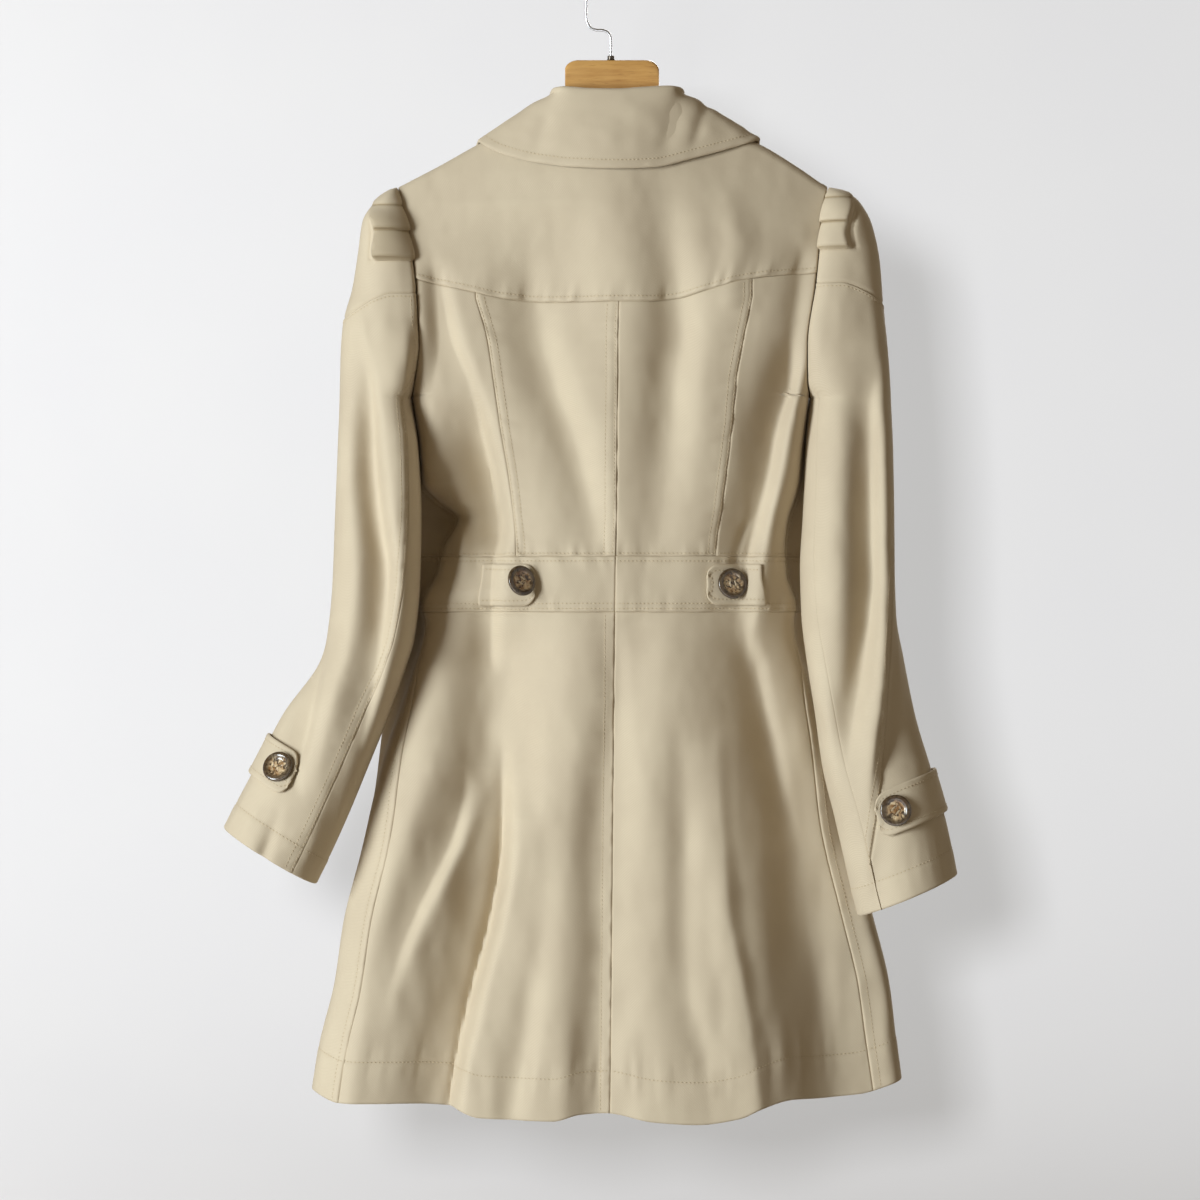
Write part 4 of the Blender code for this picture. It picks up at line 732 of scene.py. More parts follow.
def sleeve(side, angle, z):
    """The sleeve's outer surface; angle runs from 0 at the outer edge, plus round the back."""
    table = SLEEVES[side]
    centre, half, back, front, meet = sleeve_ring(side, z)
    x = side * (centre + half * np.cos(angle))
    middle = np.where(z > UNDERARM_Z, 0.0, table.at("middle", z))
    sine = np.sin(angle)
    y = -middle - np.where(sine > 0, back, front) * sine
    # folds die away towards the armhole, and below it only little by little
    shut = armhole_angle(side, UNDERARM_Z + 0.01)
    open_again = shut + (math.pi + CALM_ANGLE - shut) * np.clip((UNDERARM_Z - z) / CLOSING, 0, 1)
    line = np.where(z > UNDERARM_Z, meet, open_again)
    calm = np.abs(sine) ** 0.3 * ease((line - np.abs(angle)) / CALM_ANGLE)
    dent = trough(side, x, z)
    dent = dent + 0.9 * waver(x, z, (26.0, 60.0), 11.0 + side) + 0.5 * waver(x, z, (11.0, 24.0), 15.0 + side)
    dent = dent + 0.12 * waver(x, z, (7.0, 9.0), 19.0)
    # its two sides never meet
    room = 0.85 * np.minimum(back, front) * np.abs(sine) + 0.01
    dent = np.where(dent > 0, dent / (1 + (np.abs(dent) / room) ** 4) ** 0.25, dent)
    y = y + calm * np.where(sine > 0, dent, -0.7 * dent)
    inwards = meet - np.abs(angle)
    over = SLEEVE_HEAD * ease(inwards / 0.09) * bell(inwards, 0.6) * ease((z - UNDERARM_Z) / 50.0)
    y = y - np.sign(sine) * over * ease((-196 - z) / 12.0)
    return np.stack([x, y, z + 0 * x], -1)


def level_round(z):
    return lambda angle, x: z + 0 * angle


def cap_seam(side):
    """Where the sleeve's head ends and the upper sleeve starts."""
    height, drop = CAP_SEAM[side]
    return lambda angle, x: height - drop * np.clip(np.cos(angle), 0, 1) ** 1.5


def cuff_edge(side):
    at, height, slope = CUFF[side]
    return lambda angle, x: height + slope * (x - at)


def sleeve_panel(side, lines, levels):
    """A piece of a sleeve. lines are angles round it, given at each height, and levels are heights, given
    at each angle and x."""

    def at(g, z):
        angle = between([line(z) for line in lines], g)
        centre, half, *_ = sleeve_ring(side, z)
        return angle, side * (centre + half * np.cos(angle))

    def height_of(level_line, g):
        z = 0 * g - 300.0
        for _ in range(16):
            z = level_line(*at(g, z))
        return z

    def surface(g, f):
        z = between([height_of(level_line, g) for level_line in levels], f)
        return sleeve(side, at(g, z)[0], z)

    return surface


def seam_line(side, column, sign):
    """A sleeve's long seam, or the armhole where that comes first."""

    def line(z):
        return sign * np.minimum(np.radians(SLEEVES[side].at(column, z)), armhole_angle(side, z))

    return line


def armhole_line(side, sign):
    return lambda z: sign * armhole_angle(side, z)


def under_top(side):
    """Height of the armhole seam at an angle round the sleeve; the top of the under sleeve."""
    heights = np.linspace(UNDERARM_Z, -300.0, 400)
    angles = armhole_angle(side, heights)
    angles[0] = math.pi
    angles = np.minimum.accumulate(angles)

    def line(angle, x):
        folded = np.minimum(np.abs(angle), 2 * math.pi - np.abs(angle))
        return np.interp(folded, angles[::-1], heights[::-1]) - UNDERARM_EASE

    return line


def junction(side):
    """Height at which the under sleeve starts beside the upper one, from the front seam to the back one."""
    top = under_top(side)
    table = SLEEVES[side]
    front, back = (math.radians(table.at(name, JUNCTION_Z)) for name in ("front_seam", "back_seam"))
    ends = [float(top(front, 0)), float(top(back, 0))]
    return lambda angle, x: np.interp(angle, [-front, back], ends)


# ---------------------------------------------------------------- places on the coat
def share_at(surface, x, f, first, last):
    """The share across a surface at which it reaches x."""
    for _ in range(40):
        middle = 0.5 * (first + last)
        if surface(np.array([middle]), np.array([f]))[0][0] < x:
            first = middle
        else:
            last = middle
    return middle


def lapel(side, inset):
    """A lapel, turned back over its front: across from its outer edge to the line on which it turns, and
    down from the collar to the break."""
    start, tip = (np.array([side * x, z]) for x, z in (LAPEL_START, LAPEL_TIP))
    end = np.array([-side * (OVERLAP - 2.0), BREAK_Z + 2.0])

    def surface(g, f):
        outwards = g if side < 0 else 1 - g
        inner = start + f[..., None] * (end - start)
        outer = tip + f[..., None] * (end - tip)
        outer[..., 1] -= 9.0 * np.sin(math.pi * f)
        width = outwards * (1 - 0.9 * f ** 8)
        x, z = np.moveaxis(inner + width[..., None] * (outer - inner), -1, 0)
        return body(front_position(side, x, z), z, inset)

    return surface


def collar(g, f):
    """The collar's visible face: the stand from the neck edge up, the fold and the fall to the outer edge."""
    at = {name: COLLAR.at(name, g) for name in ("neck", "tx", "ty", "tz", "ex", "ez")}
    facing = np.where(np.abs(g - 0.5) < 0.2599, 1, np.where(np.abs(g - 0.5) < 0.2601, 0, -1))
    half = BODY.at("back_l", at["tz"])
    low = np.where(facing < 0, roll_line(-1)(-np.abs(at["neck"])), neck_line(at["neck"]))
    cosine = facing * np.sqrt(1 - (at["neck"] / half) ** 2)
    neck_y = -facing * np.maximum(plain_depth(at["neck"], low, cosine) - CLOTH, 0)
    neck = np.stack([at["neck"], neck_y, low + 1.7], -1)
    cosine = facing * np.sqrt(1 - (at["ex"] / half) ** 2)
    edge_y = -facing * plain_depth(at["ex"], at["ez"], cosine, COLLAR_LIFT)
    edge = np.stack([at["ex"], edge_y, at["ez"]], -1)
    top = np.stack([at["tx"], at["ty"], at["tz"] - COLLAR_ROLL], -1)
    out = (edge - neck) * (1, 1, 0)
    out = COLLAR_ROLL * unit(out)
    up = np.array([0, 0, COLLAR_ROLL])
    turn = math.pi * np.clip(f - 1, 0, 1)[..., None]
    rolled = top - np.cos(turn) * out + np.sin(turn) * up
    stand = neck + f[..., None] * (top - out - neck)
    share = np.clip(f - 2, 0, 1)[..., None]
    bulge = 4 * share * (1 - share)
    fall = top + out + share * (edge - top - out) + bulge * (0.3 * out + 0.4 * up)
    # the fall stays clear of the coat
    x, y, z = np.moveaxis(fall, -1, 0)
    clear = plain_depth(x, z, facing * np.sqrt(1 - (x / half) ** 2), COLLAR_LIFT)
    y = np.where(facing > 0, np.minimum(y, -clear), np.where(facing < 0, np.maximum(y, clear), y))
    fall = np.stack([x, y, z], -1)
    f = f[..., None]
    return np.where(f < 1, stand, np.where(f < 2, rolled, fall))


def frame_at(surface, g, f, step=0.02):
    """A point of a surface with its directions across and down, and its outward normal."""
    g, f = np.array([g]), np.array([f])
    across = unit(surface(g + step, f) - surface(g - step, f))[0]
    down = unit(surface(g, f + step) - surface(g, f - step))[0]
    normal = unit(np.cross(down, across))
    return surface(g, f)[0], across, np.cross(across, normal), normal


# ---------------------------------------------------------------- fine form of the cloth
LATTICE = np.random.RandomState(11).uniform(-1.0, 1.0, (24, 24, 24))


def noise(points, size, shift=0.0):
    """Smooth noise between -1 and 1 at points; size is its cell along x, y and z."""
    q = points / np.asarray(size, float) + shift
    i = np.floor(q).astype(int)
    t = q - i
    t = t * t * (3 - 2 * t)
    total = 0.0
    for corner in range(8):
        step = np.array([corner & 1, corner >> 1 & 1, corner >> 2 & 1])
        weight = np.prod(np.where(step == 1, t, 1 - t), axis=-1)
        a, b, c = np.moveaxis((i + step) % 24, -1, 0)
        total = total + weight * LATTICE[a, b, c]
    return total


def ripple(along, size, seed):
    """Smooth noise between -1 and 1 along a seam."""
    q = along / size
    i = np.floor(q).astype(int)
    t = q - i
    t = t * t * (3 - 2 * t)
    row = LATTICE[seed % 24].reshape(-1)
    return (1 - t) * row[i % 576] + t * row[(i + 1) % 576]


def lengths(points, axis):
    """Length along the cloth from the first point of each row or column."""
    steps = np.linalg.norm(np.diff(points, axis=axis), axis=-1)
    pad = [(0, 0), (0, 0)]
    pad[axis] = (1, 0)
    return np.cumsum(np.pad(steps, pad), axis=axis)


def normals(points):
    across = np.gradient(points, axis=0)
    down = np.gradient(points, axis=1)
    return unit(np.cross(down, across))


def shares(measured, spacing, cluster=(0.5, 1.1, 1.9, 3.0)):
    """Grid shares over stretches of measured lengths, closer together at the two ends."""
    marks = [np.array([0.0])]
    for k, length in enumerate(measured):
        count = max(2, int(math.ceil(length / (spacing * FINE))))
        marks.append(k + np.arange(1, count + 1) / count)
    marks = np.concatenate(marks)
    last = float(len(measured))
    ends = np.array(cluster)
    if len(ends):
        low, high = ends / measured[0], last - ends / measured[-1]
        reach = 0.6 * spacing * FINE
        keep = (marks == 0) | (marks == last)
        keep |= (marks > low[-1] + reach / measured[0]) & (marks < high[-1] - reach / measured[-1])
        marks = np.concatenate([marks[keep], low, high])
    return np.sort(marks)


def read_at(place, offset, values, rows):
    """A grid's values in each of its rows, where the offset from a line reaches a place."""
    return np.array([[np.interp(place, offset[:, j], values[:, j, c]) for c in range(3)] for j in rows])


SEAM_ROLL, SEAM_SHADE = 1.6, 0.4  # how wide the cloth rolls over at a seam, and how much shade is painted into it there
FLAT_SEAM = 0.3  # how much of that shows at a flat seam
ALLOWANCE = 0.4  # how far the cloth stands up over the folded edge under it
ROW_WIDTH, ROW_DEPTH, ROW_SHADE = 1.0, 0.5, 0.22  # of the groove that a row of stitches presses in; its shade is painted into the colour
PUCKER_SPACING, CRUMPLE_SPACING = 5.5, 13.0  # along a seam


class Panel:
    """A dense grid on a piece's surface, and its distances from its four edges."""

    def __init__(self, surface, across, down, spacing, gap=SEAM_GAP, relief=None, columns=None, rows=None):
        g, f = (np.linspace(0, count, 8 * count + 1) for count in (across, down))
        g, f = np.meshgrid(g, f, indexing="ij")
        rough = surface(g, f)
        wide = np.linalg.norm(np.diff(rough, axis=0), axis=-1).reshape(across, 8, -1).sum(1).max(1)
        high = np.linalg.norm(np.diff(rough, axis=1), axis=-1).reshape(-1, down, 8).sum(2).max(0)
        self.columns = shares(np.maximum(wide, 1.0), spacing) if columns is None else columns
        self.rows = shares(np.maximum(high, 1.0), spacing) if rows is None else rows
        g, f = np.meshgrid(self.columns, self.rows, indexing="ij")
        self.base = surface(g, f)
        self.normal = normals(self.base)
        self.across = unit(np.gradient(self.base, axis=0))
        self.down = unit(np.gradient(self.base, axis=1))
        self.base = self.drawn_in(self.base, 0.5 * gap)
        x_length, z_length = lengths(self.base, 0), lengths(self.base, 1)
        self.away = {
            "left": x_length,
            "right": x_length[-1:] - x_length,
            "top": z_length,
            "low": z_length[:, -1:] - z_length,
        }
        self.along = {"left": z_length, "right": z_length, "top": x_length, "low": x_length}
        # painted shade, stored with the points, towards which the cloth's colour darkens
        self.tone = np.zeros(g.shape)
        self.height = np.zeros(g.shape)
        if relief is not None:
            self.height = relief(self)

    def drawn_in(self, points, gap):
        points = points.copy()
        points[0] += gap * self.across[0]
        points[-1] -= gap * self.across[-1]
        points[:, 0] += gap * self.down[:, 0]
        points[:, -1] -= gap * self.down[:, -1]
        return points

    def sew(self, seed, pucker=0.35, roll=0.9, flat=(), **edges):
        """Rolls the edges over, sinks the rows of stitches into the cloth and puckers it beside them. edges
        gives the distances of the rows from each edge; the seams of those named in flat hardly show."""
        for k, (edge, rows) in enumerate(edges.items()):
            away, along = self.away[edge], self.along[edge]
            press = FLAT_SEAM if edge in flat else 1.0
            self.height = self.height - press * roll * np.clip(1 - away / SEAM_ROLL, 0, 1) ** 2
            # painted shade along the seam's edge, where its groove is shaded
            self.tone = self.tone + SEAM_SHADE * press * bell(away, 0.9)
            if not rows:
                continue
            self.height = self.height + ALLOWANCE * (1 - ease((away - rows[-1]) / 1.8))
            for row in rows:
                line = bell(away - row, ROW_WIDTH)
                self.height = self.height - ROW_DEPTH * line
                # painted shade in each row's groove
                self.tone = self.tone + ROW_SHADE * line
            if rows[-1] > DEEP_ROW:
                away = np.abs(away - rows[-1])
            reach = min(rows[-1], 9.0)
            fine = pucker * bell(away, reach + 7.0) * (1 - bell(away, 1.2))
            self.height = self.height + fine * ripple(along + 97.0 * k, PUCKER_SPACING, seed + k)
            wide = 0.8 * pucker * bell(away, reach + 16.0)
            self.height = self.height + wide * ripple(along + 31.0 * k, CRUMPLE_SPACING, seed + k + 5)
        return self

    def settle(self):
        self.point = self.base + self.height[..., None] * self.normal
        self.facing = normals(self.point)
        return self

    def row_at(self, edge, distance, inset=1.5):
        """A line on the cloth at a distance from one of its edges: its points and normals."""
        away = self.away[edge]
        points, facing = self.point, self.facing
        if edge in ("top", "low"):
            away, points, facing = away.T, points.transpose(1, 0, 2), facing.transpose(1, 0, 2)
        if edge in ("right", "low"):
            away, points, facing = away[::-1], points[::-1], facing[::-1]
        line, turned = (read_at(distance, away, values, range(away.shape[1])) for values in (points, facing))
        length = np.concatenate([[0], np.cumsum(np.linalg.norm(np.diff(line, axis=0), axis=-1))])
        keep = (length > inset) & (length < length[-1] - inset)
        return line[keep], unit(turned[keep])


# ---------------------------------------------------------------- meshes
def put_in(name, data):
    """A new object in the scene."""
    made = bpy.data.objects.new(name, data)
    bpy.context.scene.collection.objects.link(made)
    return made


def add_mesh(name, vertices, faces, finish, node=None, tone=None, sharp=50.0):
    """A named piece from points in millimetres, which rides on the coat's body and may stand for a node."""
    mesh = bpy.data.meshes.new(name)
    mesh.from_pydata((MM * np.asarray(vertices)).tolist(), [], faces)
    mesh.validate()
    if tone is not None:
        layer = mesh.attributes.new("tone", "FLOAT", "POINT")
        layer.data.foreach_set("value", np.asarray(tone, np.float32))
    mesh.shade_smooth()
    mesh.set_sharp_from_angle(angle=math.radians(sharp))
    mesh.materials.append(FINISH[finish])
    made = put_in(name, mesh)
    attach(made, "root")
    if node:
        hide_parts(node)


def turned(profile, around, x=0.0, z=0.0):
    """Rings of points of a round form on a vertical axis, from its radii and heights."""
    turns = [2 * math.pi * k / around for k in range(around)]
    return [(x + r * math.cos(t), r * math.sin(t), z + h) for r, h in profile for t in turns]


def tube(around, count, closed=False):
    """Faces between rings of points; closed joins the last ring to the first, otherwise both ends are capped."""
    faces = []
    for ring in range(count if closed else count - 1):
        a, b = ring * around, (ring + 1) % count * around
        faces += [[a + k, a + (k + 1) % around, b + (k + 1) % around, b + k] for k in range(around)]
    if not closed:
        faces += [list(reversed(range(around))), [(count - 1) * around + k for k in range(around)]]
    return faces


def shell(name, outer, inner, tone, node):
    """A thin closed shell: a fine outer face and an inner one at every second column and row."""
    columns, rows = outer.shape[:2]
    keep_i = sorted({*range(0, columns, 2), columns - 1})
    keep_j = sorted({*range(0, rows, 2), rows - 1})
    inside = inner[np.ix_(keep_i, keep_j)]
    far = columns * rows
    grid = np.arange(far).reshape(columns, rows)
    back = far + np.arange(len(keep_i) * len(keep_j)).reshape(len(keep_i), len(keep_j))
    faces = np.stack([grid[:-1, :-1], grid[:-1, 1:], grid[1:, 1:], grid[1:, :-1]], -1).reshape(-1, 4).tolist()
    faces += np.stack([back[:-1, :-1], back[1:, :-1], back[1:, 1:], back[:-1, 1:]], -1).reshape(-1, 4).tolist()
    rims = (
        (grid[:, 0], back[:, 0], keep_i, False),
        (grid[:, -1], back[:, -1], keep_i, True),
        (grid[0], back[0], keep_j, True),
        (grid[-1], back[-1], keep_j, False),
    )
    for front, behind, keep, turned in rims:
        for k in range(len(keep) - 1):
            loop = front[keep[k]:keep[k + 1] + 1].tolist() + [int(behind[k + 1]), int(behind[k])]
            faces.append(loop[::-1] if turned else loop)
    vertices = np.concatenate([outer.reshape(-1, 3), inside.reshape(-1, 3)])
    painted_shades = np.concatenate([tone.reshape(-1), 0 * inside.reshape(-1, 3)[:, 0]])
    add_mesh(name, vertices, faces, "cloth", node, painted_shades)


def cloth(node, panel, thick=CLOTH):
    """The piece of cloth that stands for a node, from its settled panel."""
    inner = panel.drawn_in(panel.base, 0.25) - thick * panel.normal
    shell("cloth_" + node, panel.point, inner, panel.tone, node)


STITCHES = {}


def stitch(zone, line, facing, pitch=3.5, length=2.5, radius=0.4, sink=0.1):
    """Adds a row of stitches along a line to a zone's stitches."""
    if len(line) < 2:
        return
    run = np.concatenate([[0], np.cumsum(np.linalg.norm(np.diff(line, axis=0), axis=-1))])
    count = int(run[-1] / pitch)
    if count < 1:
        return
    middle = (np.arange(count) + 0.5) * run[-1] / count
    at = [np.stack([np.interp(middle + shift, run, line[:, c]) for c in range(3)], -1) for shift in (-0.5, 0.5)]
    normal = unit(np.stack([np.interp(middle, run, facing[:, c]) for c in range(3)], -1))
    along = unit(at[1] - at[0])
    beside = unit(np.cross(normal, along))
    centre = 0.5 * (at[0] + at[1]) + sink * normal
    rings = []
    for share, size, drop in ((-0.5, 0.25, 0.35), (-0.3, 1.0, 0.0), (0.3, 1.0, 0.0), (0.5, 0.25, 0.35)):
        for k in range(4):
            turn = 0.5 * math.pi * k
            offset = size * radius * (math.cos(turn) * beside + math.sin(turn) * normal)
            rings.append(centre + share * length * along + offset - drop * normal)
    STITCHES.setdefault(zone, []).append(np.stack(rings, 1))


STITCH_FACES = [[a + k, a + (k + 1) % 4, a + 4 + (k + 1) % 4, a + 4 + k] for a in (0, 4, 8) for k in range(4)]
STITCH_FACES += [[3, 2, 1, 0], [12, 13, 14, 15]]


def sew_rows(zone, panel, **edges):
    for edge, rows in edges.items():
        for row in rows:
            stitch(zone, *panel.row_at(edge, row))


def build_stitches():
    for zone, parts in STITCHES.items():
        points = np.concatenate(parts)
        faces = (16 * np.arange(len(points))[:, None, None] + np.array(STITCH_FACES)[None]).reshape(-1, 4)
        add_mesh("stitching_" + zone, points.reshape(-1, 3), faces.tolist(), "thread", sharp=80)


# ---------------------------------------------------------------- materials
class Material:
    """A material, and the few kinds of nodes that its look is made of."""

    def __init__(self, name, colour, roughness, metallic=0.0, **inputs):
        self.made = bpy.data.materials.new(name)
        self.made.use_nodes = True
        self.tree = self.made.node_tree
        self.shader = self.tree.nodes["Principled BSDF"]
        self.fill(self.shader, Base_Color=(*colour, 1.0), Roughness=roughness, Metallic=metallic, **inputs)
        self.place = self.tree.nodes.new("ShaderNodeTexCoord").outputs["Object"]

    @staticmethod
    def fill(node, **values):
        for key, value in values.items():
            node.inputs[key.replace("_", " ")].default_value = value

    def join(self, source, node, name):
        self.tree.links.new(source, node.inputs[name])

    def texture(self, kind, **inputs):
        node = self.tree.nodes.new("ShaderNodeTex" + kind)
        self.join(self.place, node, "Vector")
        self.fill(node, **inputs)
        return node.outputs["Fac"]

    def stretch(self, scale):
        """Lengthens the textures that follow along an axis."""
        node = self.tree.nodes.new("ShaderNodeMapping")
        self.fill(node, Scale=scale)
        self.join(self.place, node, "Vector")
        self.place = node.outputs["Vector"]

    def tone(self):
        """The darkening stored with a piece's points: painted shade on the cloth, and the buttons' own darker rim.
        """
        node = self.tree.nodes.new("ShaderNodeAttribute")
        node.attribute_name = "tone"
        return node.outputs["Fac"]

    def remap(self, source, low, high, to_low, to_high):
        node = self.tree.nodes.new("ShaderNodeMapRange")
        self.fill(node, From_Min=low, From_Max=high, To_Min=to_low, To_Max=to_high)
        self.join(source, node, "Value")
        return node.outputs["Result"]

    def blend(self, source, low, high, first, second, most=1.0):
        """Goes from the first colour towards the second, as far as most, while the source goes from low to
        high. Each is a colour or a socket."""
        node = self.tree.nodes.new("ShaderNodeMix")
        node.data_type = "RGBA"
        self.join(self.remap(source, low, high, 0.0, most), node, 0)
        for place, colour in ((6, first), (7, second)):
            if isinstance(colour, tuple):
                node.inputs[place].default_value = (*colour, 1.0)
            else:
                self.join(colour, node, place)
        return node.outputs[2]

    def paint(self, colour):
        self.join(colour, self.shader, "Base Color")

    def rough(self, source, low, high, least, most):
        self.join(self.remap(source, low, high, least, most), self.shader, "Roughness")

    def bump(self, *layers):
        """Chains bumps from (height socket, distance, strength)."""
        last = None
        for height, distance, strength in layers:
            node = self.tree.nodes.new("ShaderNodeBump")
            self.fill(node, Distance=distance, Strength=strength)
            self.join(height, node, "Height")
            if last is not None:
                self.join(last, node, "Normal")
            last = node.outputs["Normal"]
        self.join(last, self.shader, "Normal")


def cloth_material():
    """Beige gabardine: a fine steep twill, a soft sheen, faint unevenness of the dye, and shade painted into its
    seams, rows of stitches and pleat creases.
    """
    look = Material("beige gabardine", (0.6, 0.5, 0.34), 0.75, Sheen_Weight=0.25, Sheen_Roughness=0.45,
                    Sheen_Tint=(1.0, 0.93, 0.8, 1.0), Specular_IOR_Level=0.35)
    twill = look.texture("Wave", Scale=420.0, Distortion=0.6, Detail=1.0, Detail_Scale=2.0)
    twill.node.bands_direction = "DIAGONAL"
    fibre = look.texture("Noise", Scale=1500.0, Detail=2.0, Roughness=0.6)
    cloudy = look.texture("Noise", Scale=16.0, Detail=4.0, Roughness=0.55)
    soft = look.blend(cloudy, 0.3, 0.7, (0.54, 0.45, 0.322), (0.60, 0.51, 0.368))
    woven = look.blend(twill, 0.0, 1.0, soft, (0.40, 0.31, 0.19), 0.16)
    # painted shade: the points' stored darkening turns the colour dark brown in seams, rows of stitches and pleat
    # creases
    look.paint(look.blend(look.tone(), 0.0, 2.0, woven, (0.27, 0.195, 0.10), 0.82))
    look.rough(cloudy, 0.2, 0.8, 0.68, 0.82)
    look.bump((twill, 0.00018, 0.35), (fibre, 0.0001, 0.25))
    return look.made


def horn_material():
    """Tortoiseshell resin: cream and amber clouds with dark brown blotches, darkest at the rim."""
    look = Material("tortoiseshell resin", (0.1, 0.06, 0.03), 0.2, Coat_Weight=0.3, Coat_Roughness=0.1)
    clouds = look.texture("Noise", Scale=130.0, Detail=3.0, Roughness=0.55, Distortion=0.8)
    blotches = look.texture("Noise", Scale=210.0, Detail=2.0, Roughness=0.5, Distortion=1.4)
    warm = look.blend(clouds, 0.38, 0.62, (0.24, 0.115, 0.035), (0.72, 0.56, 0.34))
    mottled = look.blend(blotches, 0.47, 0.6, warm, (0.035, 0.018, 0.008), 0.92)
    look.paint(look.blend(look.tone(), 0.0, 1.0, mottled, (0.045, 0.026, 0.012), 0.88))
    look.rough(clouds, 0.2, 0.8, 0.14, 0.26)
    return look.made


def wood_material():
    """Varnished beech: long grain along the hanger, fine pores and a warm uneven stain."""
    look = Material("varnished wood", (0.62, 0.38, 0.14), 0.3, Coat_Weight=0.5, Coat_Roughness=0.15)
    stain = look.texture("Noise", Scale=22.0, Detail=2.0)
    look.stretch((0.09, 1.0, 1.0))
    grain = look.texture("Noise", Scale=260.0, Detail=6.0, Roughness=0.6)
    pores = look.texture("Noise", Scale=1100.0, Detail=2.0)
    warm = look.blend(grain, 0.35, 0.68, (0.60, 0.33, 0.10), (0.42, 0.20, 0.05))
    uneven = look.blend(stain, 0.3, 0.7, warm, (0.70, 0.42, 0.15), 0.45)
    look.paint(look.blend(pores, 0.62, 0.75, uneven, (0.25, 0.11, 0.03), 0.5))
    look.rough(grain, 0.3, 0.7, 0.26, 0.38)
    look.bump((grain, 0.0002, 0.2))
    return look.made


def plain_material(name, colour, roughness, scale, detail, first, second, metallic=0.0, shine=(), relief=0.0,
                   **inputs):
    """One even stuff, whose colour drifts between two."""
    look = Material(name, colour, roughness, metallic, **inputs)
    drift = look.texture("Noise", Scale=scale, Detail=detail)
    look.paint(look.blend(drift, 0.3, 0.7, first, second))
    if shine:
        look.rough(drift, 0.3, 0.7, *shine)
    if relief:
        look.bump((drift, 0.0001, relief))
    return look.made


FINISH = {
    "cloth": cloth_material(),
    "horn": horn_material(),
    "wood": wood_material(),
    "thread": plain_material("sewing thread", (0.5, 0.4, 0.25), 0.6, 900.0, 2.0, (0.44, 0.345, 0.21),
                             (0.58, 0.47, 0.31), relief=0.4, Sheen_Weight=0.2),
    "steel": plain_material("polished steel", (0.62, 0.62, 0.63), 0.18, 700.0, 3.0, (0.66, 0.66, 0.67),
                            (0.5, 0.5, 0.51), 1.0, shine=(0.12, 0.28)),
    "dark": plain_material("dark metal", (0.09, 0.07, 0.05), 0.35, 500.0, 3.0, (0.12, 0.10, 0.08),
                           (0.06, 0.05, 0.04), 1.0),
    "stage": plain_material("pale wall", (0.78, 0.78, 0.80), 0.9, 3.0, 2.0, (0.77, 0.775, 0.795),
                            (0.78, 0.785, 0.80), Specular_IOR_Level=0.1),
}

BACK_SPACING, FRONT_SPACING, SLEEVE_SPACING = 2.5, 3.6, 2.8


# ---------------------------------------------------------------- the pieces
def piece(node, surface, across, down, spacing, seed, zone, gap=SEAM_GAP, pucker=0.35, flat=(), **edges):
    """A sewn cloth piece with its stitches; edges gives the rows of stitches along each edge."""
    panel = Panel(surface, across, down, spacing, gap)
    panel.sew(seed, pucker, flat=flat, **edges).settle()
    cloth(node, panel)
    sew_rows(zone, panel, **edges)


def trim(node, surface, spacing, lift, seed, zone, pucker, **edges):
    """A tab, strap or lapel, which is sewn double and lies on the cloth under it."""
    panel = Panel(surface, 1, 1, spacing)
    panel.height = panel.height + lift + TRIM
    panel.sew(seed, pucker, 0.8, **edges).settle()
    cloth(node, panel, thick=-lift)
    sew_rows(zone, panel, **edges)


def build_back():
    waist, waist_low = level(WAIST_TOP), level(WAIST_LOW)
    left, centre, right = (back_line(name) for name in ("left", "centre", "right"))
    side_left, side_right = side_line(-1), side_line(1)
    yoke = body_panel((side_left, left, centre, right, side_right), (neck_line, under_turn(neck_line), yoke_seam))
    piece("back_yoke", yoke, 4, 2, BACK_SPACING, 1, "yoke", pucker=1.0,
          left=(), right=(), top=(), low=(YOKE_ROW,))
    upper = (
        ("side_back_left", (side_left, left), {"left": (), "right": ()}),
        ("back_left", (left, centre), {"left": PRINCESS_ROWS, "right": CENTRE_ROWS}),
        ("back_right", (centre, right), {"left": (), "right": PRINCESS_ROWS}),
        ("side_back_right", (right, side_right), {"left": (), "right": ()}),
    )
    for seed, (node, lines, rows) in enumerate(upper, start=2):
        levels = (yoke_seam, level(UNDERARM_Z), waist) if node.startswith("side") else (yoke_seam, waist)
        piece(node, body_panel(lines, levels), 1, len(levels) - 1, BACK_SPACING, seed, "back", pucker=0.7,
              **rows, top=(), low=(WAIST_ROW,))
    for side, lines in ((-1, (side_left, left, centre)), (1, (centre, right, side_right))):
        band = body_panel(lines, (waist, waist_low))
        piece(f"waistband_back_{WORD[side]}", band, 2, 1, BACK_SPACING, 6 + side, "waistband", pucker=0.7,
              left=(), right=(), top=(BAND_TOP_ROW,), low=BAND_LOW_ROWS)
        piece(f"skirt_back_{WORD[side]}", body_panel(lines, (waist_low, hem)), 2, 1, BACK_SPACING, 9 + side,
              "skirt", pucker=0.6, top=(), low=(HEM_ROW,), left=(), right=(SKIRT_SEAM_ROW,) if side < 0 else ())
        build_tab(side, band)


def corner_share(distance, half, radius):
    """How much of a strip's half width is left at a distance from its rounded end."""
    reach = np.clip(radius - distance, 0, radius)
    return (half - radius + np.sqrt(radius ** 2 - reach ** 2)) / half


